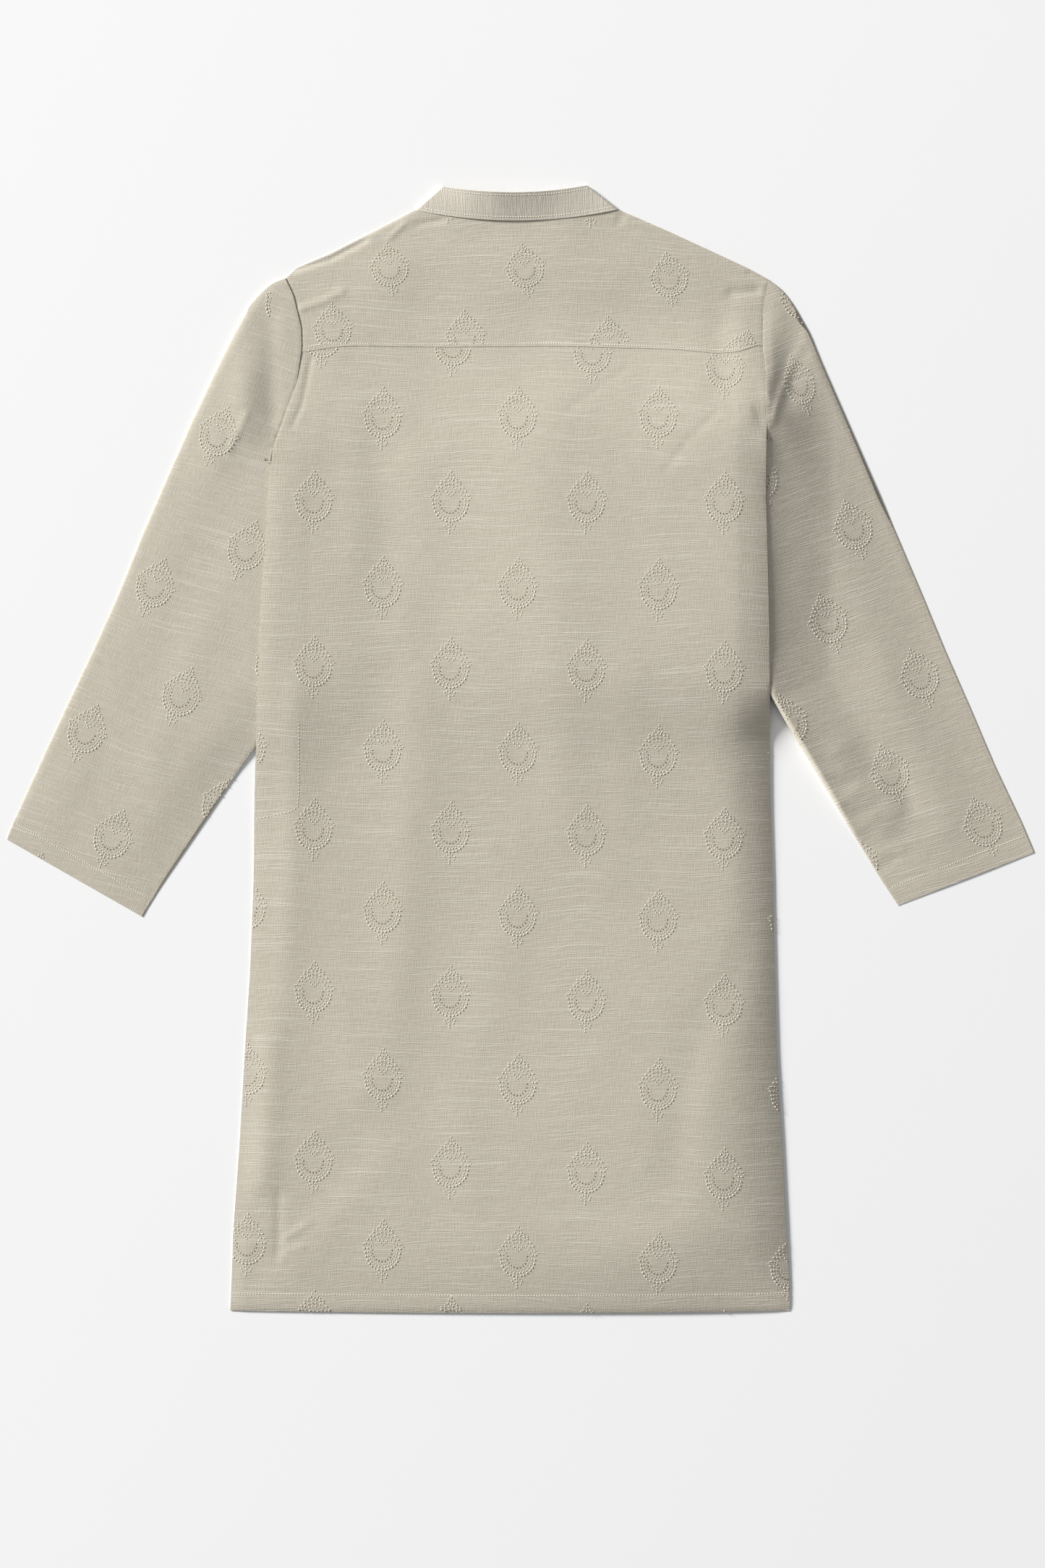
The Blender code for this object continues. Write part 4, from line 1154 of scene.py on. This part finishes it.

# %% [markdown]
# Embroidery. One motif is charted: a pear-shaped ring of knots with a second row inside
# it, a crescent of eyelets, a hanging flower, a crown of leaves and a pendant. Each stitch
# is a small round of thread, and the finished motif is copied down the cloth in a
# half-drop repeat. Stitches outside a piece are cut off, as the shears do with real cloth.

# %% One motif
RING_WIDE = 15.6
RING_TALL = 17.0
UNEVEN_HAND = np.random.default_rng(21)


def ring_point(angle, scale):
    """Place on the pear-shaped ring, the angle taken from its foot."""
    top = 0.5 * (1.0 - math.cos(angle))
    return RING_WIDE * scale * math.sin(angle), scale * (2.4 * top**3 - RING_TALL * math.cos(angle))


def knot(bm, x, y, turn, length, width, height, slot=0, lift=0.15):
    """One stitch: a low round of thread that lies along its direction."""
    slip_x, slip_y, slip_turn, size = UNEVEN_HAND.uniform(-1.0, 1.0, 4) * (0.22, 0.22, 0.25, 0.14)
    shape = Matrix.Translation((x + slip_x, y + slip_y, height * lift)) @ Matrix.Rotation(turn + slip_turn, 4, "Z")
    shape = shape @ Matrix.Diagonal((length * (1.0 + size), width * (1.0 + size), height, 1.0))
    made = bmesh.ops.create_icosphere(bm, subdivisions=1, radius=0.5, matrix=shape)
    for vert in made["verts"]:
        for face in vert.link_faces:
            face.material_index = slot
            face.smooth = True


def ring_of_knots(bm, count, scale, start, end, length, width, height, lean=0.0, sway=0.0):
    """A curved row; lean turns its stitches away from the row, and sway every second one back."""
    for index in range(count):
        angle = start + (end - start) * (index + 0.5) / count
        x, y = ring_point(angle, scale)
        ahead = ring_point(angle + 0.02, scale)
        turn = math.atan2(ahead[1] - y, ahead[0] - x) + lean + sway * (-1.0) ** index
        knot(bm, x, y, turn, length, width, height)


# Each eyelet is a dark round in the painted-shade material, standing in for the shade inside the hole.
def ring_of_eyelet_shades(bm, count, scale, start, end, size):
    for index in range(count):
        x, y = ring_point(start + (end - start) * (index + 0.5) / count, scale)
        knot(bm, x, y, 0.0, size, size, 0.3, slot=1, lift=0.1)


def make_motif():
    bm = bmesh.new()
    low, mid, high = 0.0, 0.5 * math.pi, math.pi
    ring_of_knots(bm, 15, 1.0, low - mid, mid, 2.1, 1.7, 0.85)
    ring_of_knots(bm, 15, 0.84, low - mid, mid, 1.7, 1.1, 0.6, lean=0.5)
    ring_of_knots(bm, 14, 0.70, low - mid, mid, 1.4, 0.7, 0.5)
    ring_of_eyelet_shades(bm, 11, 0.57, low - 1.15 * mid, 1.15 * mid, 1.35)
    ring_of_knots(bm, 12, 0.45, low - mid, mid, 1.2, 0.6, 0.4)
    for flank in (1.0, -1.0):
        ring_of_knots(bm, 7, 1.03, flank * mid, flank * high, 2.4, 1.1, 0.75, lean=flank * 0.9, sway=0.35)
        ring_of_knots(bm, 6, 0.87, flank * mid, flank * high, 2.0, 1.0, 0.65, lean=-flank * 0.8, sway=0.3)
        ring_of_knots(bm, 5, 0.72, flank * 1.1 * mid, flank * high, 1.7, 0.9, 0.55, lean=flank * 0.7, sway=0.3)
    ring_of_eyelet_shades(bm, 3, 0.80, 0.88 * high, 1.12 * high, 0.9)
    for x, y in ((0.0, 9.4), (-1.9, 7.4), (1.9, 7.4), (0.0, 5.6), (-3.6, 9.6), (3.6, 9.6)):
        knot(bm, x, y, 0.6, 1.6, 1.2, 0.6)
    for side in (-1.0, 1.0):
        for x, y, turn in ((16.8, 6.4, 0.5), (18.2, 4.6, -0.3), (17.0, 2.8, -0.9)):
            knot(bm, side * x, y, side * turn, 1.8, 1.0, 0.6)
        for x, y, turn in ((3.0, 22.4, 1.0), (5.2, 21.2, 0.7), (2.2, 25.2, 1.2), (8.4, 19.0, 0.6)):
            knot(bm, side * x, y, side * turn, 2.1, 1.0, 0.65)
        for x, y in ((2.2, -19.6), (4.4, -21.4), (3.6, -23.6)):
            knot(bm, side * x, y, side * 0.7, 1.7, 1.1, 0.6)
    for y in (21.4, 24.4, 27.6):
        knot(bm, 0.0, y, 1.57, 2.1, 1.0, 0.65)
    for y in (-18.8, -21.8, -24.6, -27.2):
        knot(bm, 0.0, y, 1.2, 1.7, 1.2, 0.6)
    mesh = bpy.data.meshes.new("motif")
    bm.to_mesh(mesh)
    bm.free()
    return mesh


MOTIF = make_motif()
KNOT_VERTS = 12
print("stitches in a motif:", len(MOTIF.vertices) // KNOT_VERTS)

# %% Sewing copies onto a piece


def sew(name, template, places, surface, inside, materials):
    """Lays copies of a template on a surface. A place is x, y, turn, width scale, height scale."""
    bm = bmesh.new()
    for _ in places:
        bm.from_mesh(template)
    local = np.array([vert.co for vert in template.vertices])
    count = len(local)
    spots = np.array(places, dtype=float)
    turn = np.repeat(spots[:, 2], count)
    lx = np.tile(local[:, 0], len(spots)) * np.repeat(spots[:, 3], count)
    ly = np.tile(local[:, 1], len(spots)) * np.repeat(spots[:, 4], count)
    x = np.repeat(spots[:, 0], count) + lx * np.cos(turn) - ly * np.sin(turn)
    y = np.repeat(spots[:, 1], count) + lx * np.sin(turn) + ly * np.cos(turn)
    mid_x = np.repeat(x.reshape(-1, KNOT_VERTS).mean(axis=1), KNOT_VERTS)
    mid_y = np.repeat(y.reshape(-1, KNOT_VERTS).mean(axis=1), KNOT_VERTS)
    z = surface(mid_x, mid_y) + np.tile(local[:, 2], len(spots))
    kept = inside(mid_x, mid_y)
    for vert, px, py, pz in zip(bm.verts, x, y, z):
        vert.co = (px * MM, py * MM, pz * MM)
    bmesh.ops.delete(bm, geom=[vert for vert, keep in zip(bm.verts, kept) if not keep], context="VERTS")
    mesh = bpy.data.meshes.new(name)
    bm.to_mesh(mesh)
    bm.free()
    for material in materials:
        mesh.materials.append(material)
    made = bpy.data.objects.new(name, mesh)
    bpy.context.scene.collection.objects.link(made)
    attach(made, "root")
    print(name, "stitches", len(mesh.vertices) // KNOT_VERTS, "triangles", len(mesh.polygons))
    return made


def in_body(x, y):
    return (x > side_left(y) + 0.8) & (x < side_right(y) - 0.8) & (y > hem_level(x) + 0.6)


def in_back(x, y):
    return in_body(x, y) & (y < yoke_seam(x) - 0.8)


def in_yoke(x, y):
    dip = neck_curve(x)
    top = np.interp(x, SHOULDER_X, SHOULDER_Y) + np.where(dip < 0.0, dip - COLLAR_LAP * 0.9, 0.0)
    return in_body(x, y) & (y > yoke_seam(x) + 2.6) & (y < top - 0.5)


# Each row: height of a row of motifs in the middle of the back
MOTIF_LEVELS = (297.0, 221.0, 143.5, 71.0, -4.5, -77.0, -151.0, -225.0, -302.0, -379.0, -457.0, -524.0)
EVEN_COLUMNS = (-246.0, -124.0, -2.5, 123.5, 241.0)
ODD_COLUMNS = (-186.0, -63.0, 59.0, 182.5)
back_places = []
for step, level in enumerate(MOTIF_LEVELS):
    columns = EVEN_COLUMNS if step % 2 == 0 else ODD_COLUMNS
    if step < 3:
        columns = columns[1:-1] if step % 2 == 0 else columns
    for x in columns:
        back_places.append((x, level - 0.0045 * step * x, -0.03, 1.0, 1.0))
back_places += [
    (-178.4, 368.2, -0.05, 1.0, 0.92), (-61.0, 360.6, -0.05, 1.0, 0.92),
    (64.4, 354.0, -0.05, 1.0, 0.92), (183.2, 340.5, -0.04, 1.0, 0.95),
]
yoke_places = [
    (-117.5, 431.0, 0.12, 1.0, 0.86), (4.3, 430.0, 0.14, 1.0, 0.86), (133.8, 422.0, 0.12, 1.0, 0.88),
    (-168.7, 375.5, 0.04, 1.0, 0.90), (-49.5, 369.0, 0.04, 1.0, 0.90), (79.9, 363.5, 0.05, 1.0, 0.90),
    (198.2, 352.0, -0.25, 1.0, 0.90), (-65.4, 497.0, 0.0, 1.0, 0.86), (62.9, 493.0, 0.0, 1.0, 0.86),
]
sew("embroidery_back", MOTIF, back_places, back_top, in_back, (THREAD, EYELET_SHADE))
sew("embroidery_yoke", MOTIF, yoke_places, yoke_top, in_yoke, (THREAD, EYELET_SHADE))

# %% Embroidery on the sleeves


def left_top(x, y):
    return sleeve_top(x, y, OUTER_LEFT, INNER_LEFT, SLEEVE_FOLDS_LEFT, LEFT_CREASES)


def right_top(x, y):
    return sleeve_top(x, y, OUTER_RIGHT, INNER_RIGHT, SLEEVE_FOLDS_RIGHT, RIGHT_CREASES)


def between(x, y, outer, inner, side, sign):
    """True on the visible part of a sleeve."""
    edge = np.interp(-y, -outer[:, 1], outer[:, 0])
    near = np.interp(-y, -inner[:, 1], inner[:, 0])
    near = np.where(sign * (near - side(y)) > 0.0, near, side(y))
    return (sign * (edge - x) > 1.0) & (sign * (x - near) > 1.0) & (cuff_above(x, y, outer, inner) > 0.8)


def in_left(x, y):
    return between(x, y, OUTER_LEFT, INNER_LEFT, side_left, -1.0)


def in_right(x, y):
    return between(x, y, OUTER_RIGHT, INNER_RIGHT, side_right, 1.0)


left_places = [
    (-213.0, 399.0, -0.35, 1.0, 0.95), (-272.5, 281.0, -0.36, 1.0, 1.0), (-247.0, 178.5, -0.36, 1.0, 1.0),
    (-329.6, 145.0, -0.38, 1.0, 1.0), (-305.6, 47.0, -0.38, 1.0, 1.0), (-391.0, 14.0, -0.40, 1.0, 1.0),
    (-270.0, -52.0, -0.40, 1.0, 1.0), (-367.6, -81.0, -0.40, 1.0, 1.0), (-441.0, -120.0, -0.40, 1.0, 1.0),
    (-222.0, 74.0, -0.36, 1.0, 1.0), (-352.0, 243.0, -0.38, 1.0, 1.0),
]
right_places = [
    (252.0, 404.0, 0.30, 1.0, 0.95), (251.0, 327.0, 0.30, 0.8, 1.0), (214.0, 241.0, 0.28, 1.0, 1.0),
    (299.6, 197.0, 0.32, 1.0, 1.0), (277.0, 113.0, 0.32, 1.0, 1.0), (359.5, 63.5, 0.34, 1.0, 1.0),
    (241.0, 22.0, 0.32, 1.0, 1.0), (332.7, -23.0, 0.34, 1.0, 1.0), (416.6, -70.0, 0.36, 1.0, 1.0),
    (305.0, -104.0, 0.34, 1.0, 1.0),
]
sew("embroidery_sleeve_left", MOTIF, left_places, left_top, in_left, (THREAD, EYELET_SHADE))
sew("embroidery_sleeve_right", MOTIF, right_places, right_top, in_right, (THREAD, EYELET_SHADE))

# %% [markdown]
# Topstitching. Every visible row of stitches is laid along its own line: both edges of the
# collar, the lapped edge of the yoke, the cuffs, the hem, and a short row at the left side.
# The real stitches are about 2.4 mm apart in a paler thread, so each is one small round.

# %% Rows of stitches


def make_stitch(length, width, height):
    bm = bmesh.new()
    knot(bm, 0.0, 0.0, 0.0, length, width, height)
    mesh = bpy.data.meshes.new("stitch")
    bm.to_mesh(mesh)
    bm.free()
    return mesh


STITCH = make_stitch(1.9, 0.75, 0.55)


def stitch_places(path, pitch):
    """Evenly spaced stitches that lie along a path."""
    points = np.array(path, dtype=float)
    length = np.concatenate([[0.0], np.cumsum(np.hypot(*np.diff(points, axis=0).T))])
    at = np.arange(0.5 * pitch, length[-1], pitch)
    x = np.interp(at, length, points[:, 0])
    y = np.interp(at, length, points[:, 1])
    ahead_x = np.interp(at + 0.5, length, points[:, 0]) - np.interp(at - 0.5, length, points[:, 0])
    ahead_y = np.interp(at + 0.5, length, points[:, 1]) - np.interp(at - 0.5, length, points[:, 1])
    turn = np.arctan2(ahead_y, ahead_x)
    return [(px, py, t, 1.0, 1.0) for px, py, t in zip(x, y, turn)]


def everywhere(x, y):
    return np.full(np.shape(x), True)


across = np.linspace(-258.5, 240.5, 120)
hem_path = np.stack([across, hem_level(across) + HEM_TURN], axis=1)
side_row = ((-238.0, -63.0), (-222.0, -59.5), (-206.0, -56.0), (-200.5, -52.0), (-199.5, -40.0), (-199.5, 24.0))
hem_places = stitch_places(hem_path, 2.5) + stitch_places(side_row, 3.2)
sew("stitches_hem", STITCH, hem_places, back_top, everywhere, (SEWING,))

across = np.linspace(-195.0, 216.0, 120)
yoke_path = np.stack([across, yoke_seam(across) + 2.6], axis=1)
sew("stitches_yoke", STITCH, stitch_places(yoke_path, 2.2), yoke_top, everywhere, (SEWING,))


def cuff_path(outer, inner):
    """The row of stitches across a cuff, a hem's depth above its edge."""
    ends = []
    for path in (outer, inner):
        step = path[-1] - path[-2]
        back_by = CUFF_TURN / np.hypot(*step) * (1.02 if path is outer else 1.06)
        ends.append(path[-1] - step * back_by)
    return np.linspace(ends[0], ends[1], 40)[1:-1]


for name, outer, inner, top in (
    ("stitches_cuff_left", OUTER_LEFT, INNER_LEFT, left_top),
    ("stitches_cuff_right", OUTER_RIGHT, INNER_RIGHT, right_top),
):
    sew(name, STITCH, stitch_places(cuff_path(outer, inner), 2.4), top, everywhere, (SEWING,))


def collar_line(v):
    share = np.linspace(0.012, 0.988, 80)
    lx = NECK_LEFT[0] + (COLLAR_TOP_LEFT[0] - NECK_LEFT[0]) * v
    ly = NECK_LEFT[1] + (COLLAR_TOP_LEFT[1] - NECK_LEFT[1]) * v
    rx = NECK_RIGHT[0] + (COLLAR_TOP_RIGHT[0] - NECK_RIGHT[0]) * v
    ry = NECK_RIGHT[1] + (COLLAR_TOP_RIGHT[1] - NECK_RIGHT[1]) * v
    sag = COLLAR_BASE_SAG + (COLLAR_TOP_SAG - COLLAR_BASE_SAG) * v
    level = ly + (ry - ly) * share - sag * 4.0 * share * (1.0 - share)
    return np.stack([lx + (rx - lx) * share, level], axis=1)


def collar_low(x, y):
    return collar_top(x, y, 0.13)


def collar_high(x, y):
    return collar_top(x, y, 0.90)


sew("stitches_collar_base", STITCH, stitch_places(collar_line(0.13), 2.3), collar_low, everywhere, (SEWING,))
sew("stitches_collar_edge", STITCH, stitch_places(collar_line(0.90), 2.3), collar_high, everywhere, (SEWING,))

# %% [markdown]
# The studio. The photograph is taken straight from above on a white ground, with soft
# light from the upper left, so a sun with a wide disc gives the soft shadow to the lower
# right and the world fills the rest. The camera is set from the photograph's frame:
# 1445 by 2168 pixels of 0.65 mm each.

# %% Floor, light and camera
PIXEL = 0.65
FRAME_TALL = 2168
FRAME_CENTRE = (1.95, -31.5)
bm = bmesh.new()
bmesh.ops.create_grid(bm, x_segments=1, y_segments=1, size=4.0)
floor_mesh = bpy.data.meshes.new("floor")
bm.to_mesh(floor_mesh)
bm.free()
floor = bpy.data.objects.new("floor", floor_mesh)
bpy.context.scene.collection.objects.link(floor)
FLOOR, _, _ = new_surface("white_paper_floor", {
    "Base Color": linear("#f4f4f4"), "Roughness": 0.95, "Specular IOR Level": 0.1,
})
floor_mesh.materials.append(FLOOR)

LAMP_HEIGHT = math.radians(18.0)
LAMP_SIDE = math.radians(149.0)
LAMP_AWAY = 24.0
lamp_data = bpy.data.lights.new("window light", "AREA")
lamp_data.shape = "DISK"
lamp_data.size = 6.1
lamp_data.energy = 12500.0
lamp_data.color = (1.0, 0.99, 0.98)
lamp = bpy.data.objects.new("window light", lamp_data)
toward = Matrix.Rotation(LAMP_SIDE, 4, "Z") @ Matrix.Rotation(0.5 * math.pi - LAMP_HEIGHT, 4, "Y")
lamp.matrix_world = toward @ Matrix.Translation((0.0, 0.0, LAMP_AWAY))
bpy.context.scene.collection.objects.link(lamp)

world = bpy.data.worlds.new("studio fill")
bpy.context.scene.world = world
world.use_nodes = True
world.node_tree.nodes["Background"].inputs["Color"].default_value = (0.96, 0.98, 1.0, 1.0)
world.node_tree.nodes["Background"].inputs["Strength"].default_value = 0.33
bpy.context.scene.view_settings.view_transform = "Standard"

camera_data = bpy.data.cameras.new("camera")
camera = bpy.data.objects.new("camera", camera_data)
camera_data.sensor_fit = "VERTICAL"
camera_data.sensor_height = 24.0
camera_data.lens = 85.0
tall = FRAME_TALL * PIXEL * MM
distance = tall * camera_data.lens / camera_data.sensor_height
camera.location = (FRAME_CENTRE[0] * MM, FRAME_CENTRE[1] * MM, distance + 0.005)
camera_data.clip_end = 50.0
bpy.context.scene.collection.objects.link(camera)
bpy.context.scene.camera = camera
print("camera", round(distance, 2), "m above the floor")
